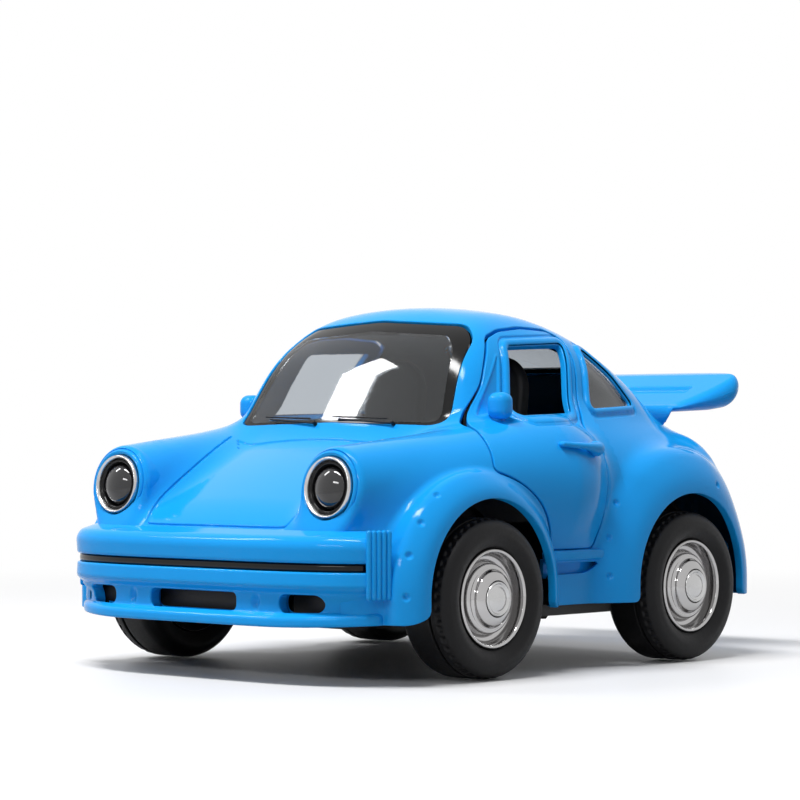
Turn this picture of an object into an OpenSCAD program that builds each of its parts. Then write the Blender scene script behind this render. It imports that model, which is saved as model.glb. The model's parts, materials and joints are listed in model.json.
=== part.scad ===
// Pull back car: a die-cast body with opening doors on a plastic chassis, with a wind-up motor
// geared to the rear axle. +X is forward, +Y is the car's left and +Z is up. The origin is on
// the ground below the middle of the wheelbase.

/* [Body] */
// Distance between the front and rear axles
wheelbase = 49.2; // [47:0.1:52]
// From the middle of the wheelbase to the front face of the front bumper
front_reach = 53; // [52:0.1:55]
// From the middle of the wheelbase to the tip of the tail wing
wing_reach = 53; // [50:0.1:56]
// From the middle of the wheelbase to the back panel of the body
tail_reach = 46; // [45:0.1:48]
// Width of the body over the doors
body_w = 66; // [64:0.1:69]
// Height of the roof above the ground
roof_h = 57; // [55:0.1:60]
// Height of the hood at the foot of the windscreen
hood_h = 36.8; // [36:0.1:38]
// Height of the side windows' lower edge
belt_h = 39.6; // [39:0.1:41]
// Height of the body's lower edge above the ground
skirt_h = 10; // [9.2:0.1:11]
// Width of the cabin at the belt line
cabin_w = 53.2; // [51:0.1:55]
// Wall thickness of the casting
wall = 1.2; // [1:0.05:1.5]

/* [Wheels] */
// Outer diameter of the tyres
tyre_d = 24; // [22.5:0.1:25]
// Width of the tyres
tyre_w = 9.8; // [8:0.1:10.5]
// Width of the car over the outer faces of the tyres
track_w = 73.8; // [73:0.1:76]
// Diameter of the rims' outer lip
rim_d = 15; // [13:0.1:17]
// Diameter of the steel axles
axle_d = 2; // [1.6:0.05:2.4]
// Room between a tyre and the edge of its arch
arch_gap = 2.3; // [1.8:0.1:3]
// Width of the front arch flares beyond the arch edge
front_flare_w = 4.2; // [3.5:0.1:4.6]
// Width of the rear arch flares beyond the arch edge
rear_flare_w = 7.2; // [5:0.1:8]

/* [Doors] */
// Gap between a door and the body
door_gap = 0.4; // [0.35:0.05:0.6]
// Thickness of a door's skin
door_wall = 1.4; // [1.2:0.05:1.8]
// Widest opening angle of a door
door_open = 55; // [30:1:60]
// Diameter of the hinge pins
hinge_pin_d = 1; // [0.8:0.05:1.2]

/* [Lamps] */
// Diameter of the headlamps' rims
lamp_d = 9.4; // [8.8:0.1:9.8]
// Height of the headlamps' centres above the ground
lamp_h = 28.6; // [28:0.1:29.4]
// Distance between the headlamps' centres
lamp_track = 45.6; // [44:0.1:47]

/* [Motor] */
// Size of the gear teeth
gear_module = 0.5; // [0.48:0.01:0.52]
// Teeth of the small gears
pinion_teeth = 12; // [12:1:13]
// Teeth of the large gears
wheel_teeth = 24; // [22:1:25]
// Thickness of the gears
gear_t = 1.6; // [1.2:0.1:1.9]

/* [Fits] */
// Radial room of an axle or pin that turns in its bore
running_fit = 0.05; // [0.03:0.01:0.08]
// Room between pieces that are fitted together
piece_gap = 0.12; // [0.08:0.01:0.2]

/* [Hidden] */

paint = [0.12, 0.59, 0.90];
black = [0.06, 0.06, 0.07];
chrome = [0.85, 0.85, 0.87];
steel = [0.62, 0.63, 0.66];
clear = [0.55, 0.62, 0.68, 0.5];
red = [0.55, 0.05, 0.05];
white_plastic = [0.85, 0.85, 0.82];

// Stations along the car
axle_z = tyre_d/2;
front_x = wheelbase/2;
rear_x = -wheelbase/2;
nose_x = front_reach - 2.2;
cowl_x = front_reach - 33;
screen_x = cowl_x + 2.6;
screen_foot = hood_h + 0.2;
lamp_x = front_reach - 7;
lamp_y = lamp_track/2;
pod_r = lamp_d/2 + 1.5;
arch_r = tyre_d/2 + arch_gap;
arch_z = axle_z + 0.6;
front_edge_y = track_w/2 - 0.5;
rear_edge_y = track_w/2 - 0.1;
tyre_in_y = track_w/2 - tyre_w;
window_top = roof_h - 6.4;
screen_top = roof_h - 3.4;

// Bends of the body's surfaces, per millimetre or as slopes
hood_slope = 0.377;
hood_bend = 0.003;
roof_bend_front = 0.0143;
roof_bend_rear = 0.0111;
cabin_lean = 0.36;
cabin_low = 30;
screen_rake = 0.56;
// Radii, in millimetres, that smooth one surface into the next
shoulder_round = 9;
cabin_round = 2.5;
ridge_round = 4;

function smin(a, b, k) = let (h = max(k - abs(a - b), 0)/k) min(a, b) - h*h*k/4;
function smax(a, b, k) = -smin(-a, -b, k);
function clamp(v, lo, hi) = min(max(v, lo), hi);
function ease(t) = let (c = clamp(t, 0, 1)) c*c*(3 - 2*c);

// Heights of the hood and roof and the half width of the flanks, along x
function hood_at(x) = let (d = x - cowl_x) hood_h - hood_slope*d - hood_bend*d*abs(d);
function roof_at(x) = roof_h - roof_bend_front*pow(max(x - screen_x + 22.6, 0), 2)
    - roof_bend_rear*pow(max(46 - tail_reach - x, 0), 2);
function top_at(x) = smin(smin(hood_at(x), belt_h, 4), roof_at(x) - 0.6, 4);
function half_width(x) = body_w/2 - 0.0155*pow(max(x - front_reach + 20, 0), 2)
    + ease((rear_x + 19.6 - x)/15) - 0.03*pow(max(11 - tail_reach - x, 0), 2);

// Each surface is a function that is negative inside the body and grows outwards
function tail_at(x, y, z) = -x - (tail_reach - 0.004*y*y) + 0.21*max(z - 22, 0);
function base_at(x, y, z) =
    let (side = y - half_width(x))
    let (top = (z - top_at(x) + (x < -10 ? 0.0045 : 0.0022)*y*y)*0.93)
    let (nose = x - (nose_x - 0.0035*y*y) + 0.12*max(z - 18, 0))
    smax(smax(smax(side, top, shoulder_round), nose, 3), tail_at(x, y, z), 5);
function ridge_at(x, y, z) =
    let (u = clamp((lamp_x - x)/32, 0, 1.3))
    let (tube = norm([y - lamp_y - 0.1 - 2.6*u, z - lamp_h + 0.3 - 0.2*u]) - pod_r - 3.3*u)
    let (front = x - lamp_x - 0.2 + 0.105*(z - lamp_h))
    smax(smax(tube, front, 1.2), -6 - x, 10);
function cabin_at(x, y, z) =
    let (b = cabin_w/2 - cabin_lean*(max(z, cabin_low) - 38) - 0.003*pow(max(z - 46, 0), 2)
        - 0.0055*pow(max(x - screen_x + 20.6, 0), 2) - 0.0055*pow(max(38 - tail_reach - x, 0), 2))
    let (screen = (x - screen_x + screen_rake*(z - screen_foot) + 0.005*y*y)*0.872)
    let (top = (z - roof_at(x) + 0.006*y*y)*0.93)
    max(smax(smax((y - b)*0.93, screen, 4), top, 6), tail_at(x, y, z));
function body_at(p) =
    let (x = p[0], y = abs(p[1]), z = p[2])
    smin(smin(base_at(x, y, z), ridge_at(x, y, z), ridge_round), cabin_at(x, y, z), cabin_round);

// The skin is found along rays that leave a line inside the body, and fan out at its ends
ray_z = 22;
fan_front = nose_x - 16.8;
fan_rear = 14 - tail_reach;
floor_z = 6;
function field(p) = max(body_at(p), floor_z - p[2]);
function find(o, d, lo, hi, n, level) =
    n == 0 ? (lo + hi)/2 :
    let (m = (lo + hi)/2)
    field(o + m*d) < level ? find(o, d, m, hi, n - 1, level) : find(o, d, lo, m, n - 1, level);
function skin_point(s, a, level) =
    let (o = [s[0], 0, ray_z], d = [sin(s[1]), cos(s[1])*cos(a), cos(s[1])*sin(a)])
    o + d*find(o, d, 0, 60, 15, level);

module closed_skin(level, step, turn, fan) {
    n = floor(360/turn);
    m = round((fan_front - fan_rear)/step);
    stations = concat([for (a = [-90 + fan : fan : -0.1]) [fan_rear, a]],
        [for (i = [0 : m]) [fan_rear + (fan_front - fan_rear)*i/m, 0]],
        [for (a = [fan : fan : 90 - fan]) [fan_front, a]]);
    k = len(stations);
    rings = [for (s = stations) for (j = [0 : n - 1]) skin_point(s, j*turn, level)];
    poles = [skin_point([fan_rear, -90], 0, level), skin_point([fan_front, 90], 0, level)];
    sides = [for (i = [0 : k - 2]) for (j = [0 : n - 1])
        let (a = i*n + j, b = i*n + (j + 1)%n, c = b + n, d = a + n)
        each [[a, c, b], [a, d, c]]];
    ends = [for (j = [0 : n - 1])
        each [[k*n, j, (j + 1)%n], [k*n + 1, (k - 1)*n + (j + 1)%n, (k - 1)*n + j]]];
    polyhedron(concat(rings, poles), concat(sides, ends), convexity = 6);
}

// The casting's inner face, or one a little further in
module inner_skin(room) {
    closed_skin(-wall - room, 5.5, 12, 22.5);
}

// A curved plate that follows the skin from one depth to another
module skin_plate(first, last, a_from, a_to, outer, inner, nx, na) {
    m = nx + 1;
    n = na + 1;
    layer = [for (level = [outer, inner]) for (i = [0 : nx]) for (j = [0 : na])
        skin_point(first + (last - first)*i/nx, a_from + (a_to - a_from)*j/na, level)];
    top = [for (i = [0 : nx - 1]) for (j = [0 : na - 1])
        let (a = i*n + j, b = a + 1, c = b + n, d = a + n)
        each [[a, c, b], [a, d, c]]];
    bottom = [for (f = top) [f[2] + m*n, f[1] + m*n, f[0] + m*n]];
    rim = concat([for (j = [0 : na]) j], [for (i = [1 : nx]) i*n + na],
        [for (j = [na - 1 : -1 : 0]) nx*n + j], [for (i = [nx - 1 : -1 : 1]) i*n]);
    q = len(rim);
    wall_faces = [for (k = [0 : q - 1])
        let (a = rim[k], b = rim[(k + 1)%q])
        each [[a, b + m*n, a + m*n], [a, b, b + m*n]]];
    polyhedron(layer, concat(top, bottom, wall_faces), convexity = 6);
}

module mirror_copy() {
    children();
    mirror([0, 1, 0]) children();
}

// Turns a drawing in x and z into a bar that lies along y
module along_y(y_from, y_to) {
    translate([0, y_to, 0]) rotate([90, 0, 0]) linear_extrude(y_to - y_from) children();
}

// Outlines of the openings, drawn in x and z, or in y and z for the screens
sill_top = skirt_h + 8.7;
door_front_r = arch_r + front_flare_w + 0.35;
flare_shift = 0.8;
pillar_x = rear_x + arch_r + rear_flare_w - 8.2;
module door_outline() {
    c = front_x + flare_shift;
    low = asin((sill_top - arch_z)/door_front_r);
    polygon(concat(
        [for (a = [low : (78 - low)/8 : 78.01]) [c - door_front_r*cos(a), arch_z + door_front_r*sin(a)]],
        [[cowl_x + 0.3, hood_h - 1], [cowl_x - 0.8, hood_h + 0.7], [cowl_x - 2.1, hood_h + 1.7],
         [screen_x - 9.7, window_top - 6.8], [screen_x - 12, window_top - 3.1],
         [screen_x - 15, window_top + 0.9], [screen_x - 18.3, window_top + 2],
         [pillar_x + 9.9, window_top + 2.6], [pillar_x + 2.8, window_top + 2.4],
         [pillar_x, window_top + 1.2], [pillar_x + 0.4, window_top - 2], [pillar_x + 1.5, belt_h + 5.4],
         [pillar_x + 3.7, belt_h + 0.3], [pillar_x + 6.3, belt_h - 2.6], [pillar_x + 5.7, belt_h - 6.2],
         [pillar_x + 5.5, belt_h - 10.4], [pillar_x + 7.1, sill_top + 4.7], [pillar_x + 9.1, sill_top]]));
}
module side_window() {
    polygon([[screen_x - 14.2, belt_h - 0.1], [screen_x - 17.7, window_top - 1.2],
        [screen_x - 18.6, window_top - 0.6], [pillar_x + 2.7, window_top], [pillar_x + 1.9, window_top - 0.5],
        [pillar_x + 5.2, belt_h + 1], [pillar_x + 5.9, belt_h + 0.4]]);
}
module quarter_window() {
    polygon([[pillar_x - 0.8, belt_h + 1.2], [pillar_x - 0.1, belt_h + 2.4], [pillar_x - 3.5, window_top - 1],
        [pillar_x - 4.5, window_top - 0.9], [pillar_x - 9.3, window_top - 4.6], [pillar_x - 12.3, belt_h + 2.2],
        [pillar_x - 11.7, belt_h + 1.5]]);
}
module screen_outline(grow) {
    low = cabin_w/2 - 5;
    high = low - 3.4;
    offset(delta = grow) polygon([[-low, hood_h + 1.9], [-high, screen_top - 2.6], [3.2 - high, screen_top - 0.4],
        [0, screen_top + 0.4], [high - 3.2, screen_top - 0.4], [high, screen_top - 2.6], [low, hood_h + 1.9],
        [low - 2.1, hood_h + 1.2], [0, hood_h + 1.7], [2.1 - low, hood_h + 1.2]]);
}
module rear_outline(grow) {
    low = cabin_w/2 - 13;
    high = low - 1.6;
    offset(delta = grow) polygon([[-low, wing_top + 1.8], [-high, screen_top - 2], [2 - high, screen_top - 0.8],
        [high - 2, screen_top - 0.8], [high, screen_top - 2], [low, wing_top + 1.8], [low - 1, wing_top + 1.1],
        [1 - low, wing_top + 1.1]]);
}
// Screens are cut straight along x, from far ahead or behind to the middle of the car
module along_x(x_from, x_to) {
    translate([x_from, 0, 0]) rotate([90, 0, 90]) linear_extrude(x_to - x_from) children();
}

// Flare around one wheel arch on the left: a ring with upright legs and a falling outer face
function flare_y(u, edge, drop) = edge - drop*u*abs(u);
module flare_profile(width, edge, drop, depth) {
    polygon(concat([[arch_r - 1.5, edge - depth]],
        [[arch_r - 1.5, edge]],
        [for (u = [0 : 0.34 : 1.1]) [arch_r + width*min(u, 1), flare_y(min(u, 1), edge, drop)]],
        [[arch_r + width, edge - depth]]));
}
module flare(x, width, edge, drop, depth) {
    translate([x, 0, arch_z]) {
        rotate([90, 0, 0]) mirror([0, 0, 1]) rotate_extrude(angle = 180, $fn = 36)
            flare_profile(width, edge, drop, depth);
        for (side = [0, 1]) mirror([side, 0, 0]) translate([0, 0, skirt_h - arch_z])
            linear_extrude(arch_z - skirt_h) flare_profile(width, edge, drop, depth);
    }
}
module arch_cut(x, r) {
    along_y(-50, 50) {
        translate([x, arch_z]) circle(r = r, $fn = 48);
        translate([x - r, skirt_h - 8]) square([2*r, arch_z - skirt_h + 8]);
    }
}

// The bumpers follow a rounded plan, with a profile of depth against height
bumper_back = 15;
bumper_w = body_w + 0.6;
bumper_power = 3.4;
function plan(t, reach, d) =
    let (a = bumper_back, b = bumper_w/2)
    let (c = cos(t), s = sin(t), e = 2/bumper_power)
    let (p = [a*pow(abs(c), e), b*sign(s)*pow(abs(s), e)])
    let (g = [pow(max(p[0]/a, 0), bumper_power - 1)/a, sign(s)*pow(abs(p[1])/b, bumper_power - 1)/b])
    [reach - bumper_back, 0] + p + d*g/norm(g);
module bumper_sweep(reach, profile, half_angle, steps, deep = -9, shallow = 9) {
    n = len(profile);
    function at_end(i, d) = abs(i) == steps ? clamp(d, deep, shallow) : d;
    depths = [for (q = profile) clamp(q[0], deep, shallow)];
    heights = [for (q = profile) q[1]];
    centre = [(min(depths) + max(depths))/2, (min(heights) + max(heights))/2];
    points = [for (i = [-steps : steps]) for (q = profile)
        let (p = plan(half_angle*i/steps, reach, at_end(i, q[0]))) [p[0], p[1], q[1]]];
    middles = [for (i = [-1, 1]) let (p = plan(half_angle*i, reach, centre[0])) [p[0], p[1], centre[1]]];
    k = 2*steps + 1;
    sides = [for (i = [0 : k - 2]) for (j = [0 : n - 1])
        let (a = i*n + j, b = i*n + (j + 1)%n, c = b + n, d = a + n)
        each [[a, b, c], [a, c, d]]];
    ends = [for (j = [0 : n - 1])
        each [[k*n, (j + 1)%n, j], [k*n + 1, (k - 1)*n + j, (k - 1)*n + (j + 1)%n]]];
    polyhedron(concat(points, middles), concat(sides, ends), convexity = 8);
}

lip_z = skirt_h - 2;
slot_low = skirt_h + 6.1;
slot_high = skirt_h + 8.1;
bumper_top = skirt_h + 11.9;
slot_depth = 1.4;
front_profile = [[-3.4, lip_z], [0, lip_z], [0, lip_z + 1.4], [-1.1, lip_z + 2.1],
    [-1.1, skirt_h + 3.3], [-0.1, skirt_h + 4.2], [-0.2, slot_low], [-slot_depth, slot_low],
    [-slot_depth, slot_high], [-0.2, slot_high], [0, bumper_top - 1.6],
    [-0.8, bumper_top - 0.4], [-4.6, bumper_top + 0.6], [-4.6, skirt_h + 0.5], [-3.4, skirt_h - 0.5]];
rear_profile = [[-3, skirt_h], [-0.6, skirt_h], [-0.6, skirt_h + 2.6], [0.8, skirt_h + 3.2],
    [0.8, skirt_h + 8.6], [-3, skirt_h + 9.4]];
rib_r = 0.6;
rib_low = skirt_h + 2.4;
rib_high = skirt_h + 12.4;
module bumper_ribs() {
    for (t = [65.5 : 3 : 77.5]) translate([0, 0, rib_low] + plan(t, front_reach, -0.2))
        cylinder(r = rib_r, h = rib_high - rib_low, $fn = 8);
}
side_intake = [0.264*bumper_w, 0.374*bumper_w];
intake_y = [[-0.138*bumper_w, 0.138*bumper_w], side_intake, [-side_intake[1], -side_intake[0]]];
intake_low = lip_z + 2.2;
intake_high = skirt_h + 3;
intake_depth = 2.2;
module intake_bars(shrink, x_from, x_to) {
    for (r = intake_y) translate([x_from, r[0] + shrink, intake_low + shrink])
        cube([x_to - x_from, r[1] - r[0] - 2*shrink, intake_high - intake_low - 2*shrink]);
}

lamp_tilt = 6;
lamp_pocket = 4.2;
module lamp_place(side) {
    mirror([0, side, 0]) translate([lamp_x, lamp_y, lamp_h]) rotate([0, 90 - lamp_tilt, 0]) children();
}
post_x = [front_reach - 15, 8 - tail_reach];
post_r = 2.6;
screw_r = 0.85;
chassis_top = skirt_h + 0.2;
chassis_low = skirt_h - 1.6;
hinge_x = front_x - 0.6;
hinge_y = body_w/2 - 2;
hinge_low = arch_z + arch_r + 1.5;
hinge_high = hinge_low + 3;
hinge_bore_r = hinge_pin_d/2 + running_fit;
knuckle_r = hinge_pin_d/2 + 0.8;
boss_r = knuckle_r + 0.6;
hinge_play = 0.15;
flare_end = -tail_reach + 3;
tail_lamp_z = [25.2, 29.4];
tail_lamp_y = [15, body_w/2 - 1.5];
tail_lamp_depth = 1.9;
wing_x = 8 - tail_reach;
wing_peg_x = wing_x - 0.5;
wing_peg_y = 12;
wing_peg_r = 1.2;
wing_foot_z = belt_h - 2.2;

module front_pole() {
    translate([0, 0, chassis_top + 0.05]) cylinder(r = post_r, h = 40, $fn = 18);
}
module hinge_boss(z_from, z_to, r) {
    translate([hinge_x, hinge_y, z_from]) cylinder(r = r, h = z_to - z_from, $fn = 18);
}
module tail_lamp(outer, inner, grow) {
    intersection() {
        skin_plate([fan_rear, -48], [fan_rear, -8], 4, 28, outer, inner, 12, 4);
        translate([-80, tail_lamp_y[0] - grow, tail_lamp_z[0] - grow])
            cube([60, tail_lamp_y[1] - tail_lamp_y[0] + 2*grow, tail_lamp_z[1] - tail_lamp_z[0] + 2*grow]);
    }
}

module body_shell() {
    color(paint) difference() {
        union() {
            intersection() {
                closed_skin(0, 3.3, 8, 15);
                translate([-80, -80, skirt_h]) cube([160, 160, 80]);
            }
            mirror_copy() {
                flare(front_x + flare_shift, front_flare_w, front_edge_y, 2.6, 6);
                intersection() {
                    flare(rear_x, rear_flare_w, rear_edge_y, 3.2, 6);
                    translate([flare_end, 0, 0]) cube(80);
                }
                lamp_place(0) translate([0, 0, -12]) cylinder(r = pod_r, h = 12.3, $fn = 24);
                bumper_ribs();
                translate([rear_x + arch_r, body_w/2 - 1.2, skirt_h + 6.9])
                    cube([wheelbase - 2*arch_r, 2.2, 1.9]);
            }
            bumper_sweep(front_reach, front_profile, 77, 14, -3.4, -slot_depth);
            mirror([1, 0, 0]) bumper_sweep(tail_reach, rear_profile, 80, 8, -3, -0.6);
        }
        difference() {
            intersection() {
                inner_skin(0);
                translate([-80, -80, skirt_h - 1]) cube([160, 160, 80]);
            }
            for (x = post_x) translate([x, 0, 0]) front_pole();
            mirror_copy() {
                hinge_boss(hinge_low - 2, hinge_low - hinge_play, boss_r);
                hinge_boss(hinge_high + hinge_play, hinge_high + 8, boss_r);
            }
        }
        for (x = post_x) translate([x, 0, 0]) cylinder(r = screw_r + running_fit, h = 20, $fn = 16);
        mirror_copy() {
            intersection() {
                union() {
                    arch_cut(front_x, arch_r);
                    arch_cut(rear_x, arch_r);
                }
                translate([-60, tyre_in_y - 2.2, 0]) cube([120, 30, 60]);
            }
            along_y(17, 50) offset(delta = door_gap) door_outline();
            along_y(15, 50) quarter_window();
            lamp_place(0) translate([0, 0, -lamp_pocket]) cylinder(r = lamp_d/2, h = 12, $fn = 24);
            tail_lamp(2, -tail_lamp_depth, 0);
            hinge_boss(hinge_low - 1.6, hinge_high + 1.6, hinge_pin_d/2 + 0.02);
            hinge_boss(hinge_low - hinge_play, hinge_high + hinge_play, knuckle_r + 0.25);
            translate([wing_peg_x, wing_peg_y, wing_foot_z - 12]) cylinder(r = wing_peg_r, h = 20, $fn = 16);
        }
        along_x(4, 40) screen_outline(0);
        along_x(-50, -6) rear_outline(0);
        intake_bars(0, front_reach - 5.5, front_reach + 5);
    }
}

// Tail wing: a tray that rises to its rear edge, on a foot that follows the deck
wing_w = body_w - 10;
wing_top = belt_h + 6.9;
wing_root = 15 - tail_reach;
wing_nose = wing_top - 5.2;
tray_rise = (wing_top - wing_nose)/12;
module wing_side() {
    polygon([[-wing_reach + 0.5, wing_top], [-wing_reach, wing_top - 0.7], [-wing_reach + 0.7, wing_top - 3.9],
        [-wing_reach + 3, wing_top - 5.3], [-wing_reach + 7, wing_top - 6], [wing_x - 1, wing_top - 6.4],
        [wing_x + 0.5, wing_foot_z - 2], [wing_root - 1, wing_foot_z - 2], [wing_root + 2.4, wing_top - 5],
        [wing_root, wing_nose + 0.1], [-wing_reach + 13, wing_nose], [-wing_reach + 1, wing_top]]);
}
module wing_plan() {
    for (side = [0, 1]) mirror([0, side]) polygon([[-wing_reach - 1, -1], [-wing_reach, wing_w/2 - 11],
        [-wing_reach + 0.7, wing_w/2 - 4], [-wing_reach + 2.2, wing_w/2 - 1], [-wing_reach + 4.4, wing_w/2],
        [-wing_reach + 8, wing_w/2 - 1.4], [wing_x - 3.6, wing_w/2 - 4], [wing_x + 2, wing_w/2 - 9.5],
        [wing_root + 4, wing_w/2 - 12.5], [wing_root + 4, -1]]);
}
module tail_wing() {
    color(paint) resize([0, 0, 0]) {
        difference() {
            intersection() {
                along_y(-wing_w, wing_w) wing_side();
                linear_extrude(80) wing_plan();
            }
            along_y(7 - wing_w/2, wing_w/2 - 7) polygon([[-wing_reach + 7, wing_top + 3],
                [-wing_reach + 7, wing_top - 6*tray_rise - 0.5], [-wing_reach + 12, wing_top - 11*tray_rise - 0.5],
                [-wing_reach + 12, wing_top + 3]]);
            skin_plate([wing_x - 9, 0], [wing_root + 8, 0], 10, 170, piece_gap, -10, 8, 16);
        }
        mirror_copy() translate([wing_peg_x, wing_peg_y, wing_foot_z])
            cylinder(r = wing_peg_r - piece_gap/2, h = wing_nose - 0.4 - wing_foot_z, $fn = 20);
    }
}

// Windows: a clear pane in the opening, on a flange that bears on the inside of the casting
glass_inset = 0.25;
glass_lap = 1.2;
flange_in = -wall - piece_gap - 0.8;
// The first child is the pane's plate, the second its outline and the third its flange's outline
module glazed() {
    color(clear) resize([0, 0, 0]) {
        intersection() {
            children(0);
            children(1);
        }
        intersection() {
            children(0);
            children(2);
            inner_skin(piece_gap);
        }
    }
}
module windscreen() {
    difference() {
        glazed() {
            skin_plate([cowl_x - 14, 0], [screen_x + 0.6, 0], 20, 160, -glass_inset, flange_in, 9, 20);
            along_x(2, 40) screen_outline(-piece_gap);
            along_x(2, 40) screen_outline(glass_lap);
        }
        mirror_copy() along_y(10, 50) offset(delta = door_gap) door_outline();
    }
}
module rear_window() {
    glazed() {
        skin_plate([wing_root - 3, 0], [wing_root + 21, 0], 40, 140, -glass_inset, flange_in, 9, 14);
        along_x(-50, -6) rear_outline(-piece_gap);
        along_x(-50, -6) rear_outline(glass_lap);
    }
}
module quarter_pane(side) {
    glazed() {
        mirror([0, side, 0])
            skin_plate([pillar_x - 15.7, 0], [pillar_x + 2.3, 0], 25, 62, -glass_inset, flange_in, 7, 7);
        mirror([0, side, 0]) along_y(12, 40) offset(delta = -piece_gap) quarter_window();
        mirror([0, side, 0]) along_y(12, 40) offset(delta = glass_lap - 0.2) quarter_window();
    }
}
module left_quarter_window() quarter_pane(0);
module right_quarter_window() quarter_pane(1);

wiper_r = 0.35;
wiper_z = hood_h + 2.6;
function screen_spot(y, z) = [screen_x - screen_rake*(z - screen_foot) - 0.005*y*y + 0.42, y, z];
module wipers() {
    color(black) for (y = [-3, 13]) {
        hull() {
            translate(screen_spot(y, wiper_z - 0.5)) sphere(r = wiper_r + 0.15, $fn = 10);
            translate(screen_spot(y - 12, wiper_z + 0.6)) sphere(r = wiper_r, $fn = 10);
        }
    }
}

// Headlamps: a bowl, a domed lens and a rim that stand in a round pocket
lamp_fit_r = lamp_d/2 - 0.06;
bowl_low = -lamp_pocket + 0.05;
bowl_high = -0.9;
lens_r = lamp_fit_r - 0.75;
module headlamp_bowl(side) {
    color(black) lamp_place(side) rotate_extrude($fn = 48) polygon([[0, bowl_low], [lamp_fit_r, bowl_low],
        [lamp_fit_r, bowl_high], [lens_r - 0.1, bowl_high], [lens_r*0.8, bowl_high - 1], [lens_r*0.45, bowl_high - 2.1],
        [0, bowl_high - 2.5]]);
}
lens_rise = 1.7;
module headlamp_lens(side) {
    color(clear) lamp_place(side) rotate_extrude($fn = 48) polygon(concat([[0, bowl_high + 1.1]],
        [[lens_r - 1, bowl_high + 0.02], [lens_r, bowl_high + 0.02]],
        [for (i = [1 : 8]) let (a = i*90/8) [lens_r*cos(a), bowl_high + 0.3 + lens_rise*sin(a)]]));
}
module headlamp_rim(side) {
    color(chrome) lamp_place(side) rotate_extrude($fn = 48) polygon([[lens_r + 0.05, bowl_high + 0.02],
        [lamp_fit_r, bowl_high + 0.02], [lamp_fit_r, 0.5], [lamp_fit_r - 0.2, 0.85], [lamp_fit_r - 0.5, 0.85],
        [lens_r + 0.05, 0.35]]);
}
module left_headlamp_rim() headlamp_rim(0);
module right_headlamp_rim() headlamp_rim(1);
module left_headlamp_bowl() headlamp_bowl(0);
module right_headlamp_bowl() headlamp_bowl(1);
module left_headlamp_lens() headlamp_lens(0);
module right_headlamp_lens() headlamp_lens(1);

module bumper_strip() {
    color(black) bumper_sweep(front_reach, [[-slot_depth + 0.02, slot_low + 0.08], [-0.75, slot_low + 0.08],
        [-0.5, slot_low + 0.5], [-0.5, slot_high - 0.5], [-0.75, slot_high - 0.08], [-slot_depth + 0.02, slot_high - 0.08]],
        60.5, 11);
}
module intake_grilles() {
    color(black) intake_bars(0.06, front_reach - 3.4, front_reach - 2.2);
}
module left_tail_lamp() {
    color(red) tail_lamp(0.3, -tail_lamp_depth + 0.05, -0.06);
}
module right_tail_lamp() mirror([0, 1, 0]) left_tail_lamp();

// Places and sizes of the motor
pressure = 25;
gear_play = 0.05;
function gear_r(teeth) = gear_module*teeth/2;
spacing = gear_r(pinion_teeth) + gear_r(wheel_teeth);
train_angle = 15;
idler_x = rear_x + spacing*cos(train_angle);
idler_z = axle_z + spacing*sin(train_angle);
drum_x = idler_x + spacing;
drum_z = idler_z;
pinion_y = 0.6;
drum_y = -3;
cup_w = 6;
cup_r = gear_r(wheel_teeth) - 0.6;
cup_wall = 0.8;
idler_pin_r = 0.8;
arbor_r = 1.2;
case_wall = 0.8;
gear_out = gear_r(wheel_teeth) + 0.9*gear_module;
case_x0 = rear_x - gear_r(pinion_teeth) - 2;
case_x1 = drum_x + gear_out + 0.5 + case_wall;
case_z0 = idler_z - gear_out - 0.5 - case_wall;
case_z1 = idler_z + gear_out + 0.5 + case_wall;
case_y0 = drum_y - cup_w - 0.5 - case_wall;
case_y1 = pinion_y + 2*gear_t + 0.4 + case_wall;
case_split = drum_y + gear_t + 0.3;
boss_spots = [[case_x0 + case_wall + 1, case_z1 - case_wall - 1], [case_x1 - case_wall - 1, case_z1 - case_wall - 1]];

// Chassis
well_in_y = tyre_in_y - 2.4;
bearing_w = 2;
liner_r = arch_r + 0.1;
liner_t = 0.8;
liner_y = body_w/2 - 6.6;
side_y = body_w/2 - wall - 0.25;
end_y = bumper_w/2 - 6;
pan_low = skirt_h - 3.1;
pan_y = 17;
case_room = 0.3;
axle_bore_r = axle_d/2 + running_fit;
function corner(x, y, r, a) = [for (i = [0 : 4]) let (t = a + i*22.5) [x + r*cos(t), y + r*sin(t)]];
module round_box(x0, x1, y0, y1, r) {
    polygon(concat(corner(x1 - r, y1 - r, r, 0), corner(x0 + r, y1 - r, r, 90),
        corner(x0 + r, y0 + r, r, 180), corner(x1 - r, y0 + r, r, 270)));
}
module well_plan() {
    for (x = [front_x, rear_x]) for (side = [0, 1]) mirror([0, side])
        translate([x - liner_r, well_in_y]) square([2*liner_r, 20]);
}
module wheel_liner(x) {
    difference() {
        union() {
            along_y(well_in_y - bearing_w, liner_y) translate([x, arch_z]) circle(r = liner_r + liner_t, $fn = 64);
            along_y(well_in_y - bearing_w, liner_y) translate([x - liner_r - liner_t, chassis_low])
                square([2*(liner_r + liner_t), arch_z - chassis_low]);
        }
        along_y(well_in_y, liner_y + 1) {
            translate([x, arch_z]) circle(r = liner_r, $fn = 64);
            translate([x - liner_r, 0]) square([2*liner_r, arch_z]);
        }
        translate([x - 30, -5, chassis_low - 40]) cube([60, 60, 40]);
        along_y(0, 60) translate([x, axle_z]) circle(r = axle_bore_r, $fn = 32);
    }
}
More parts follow.
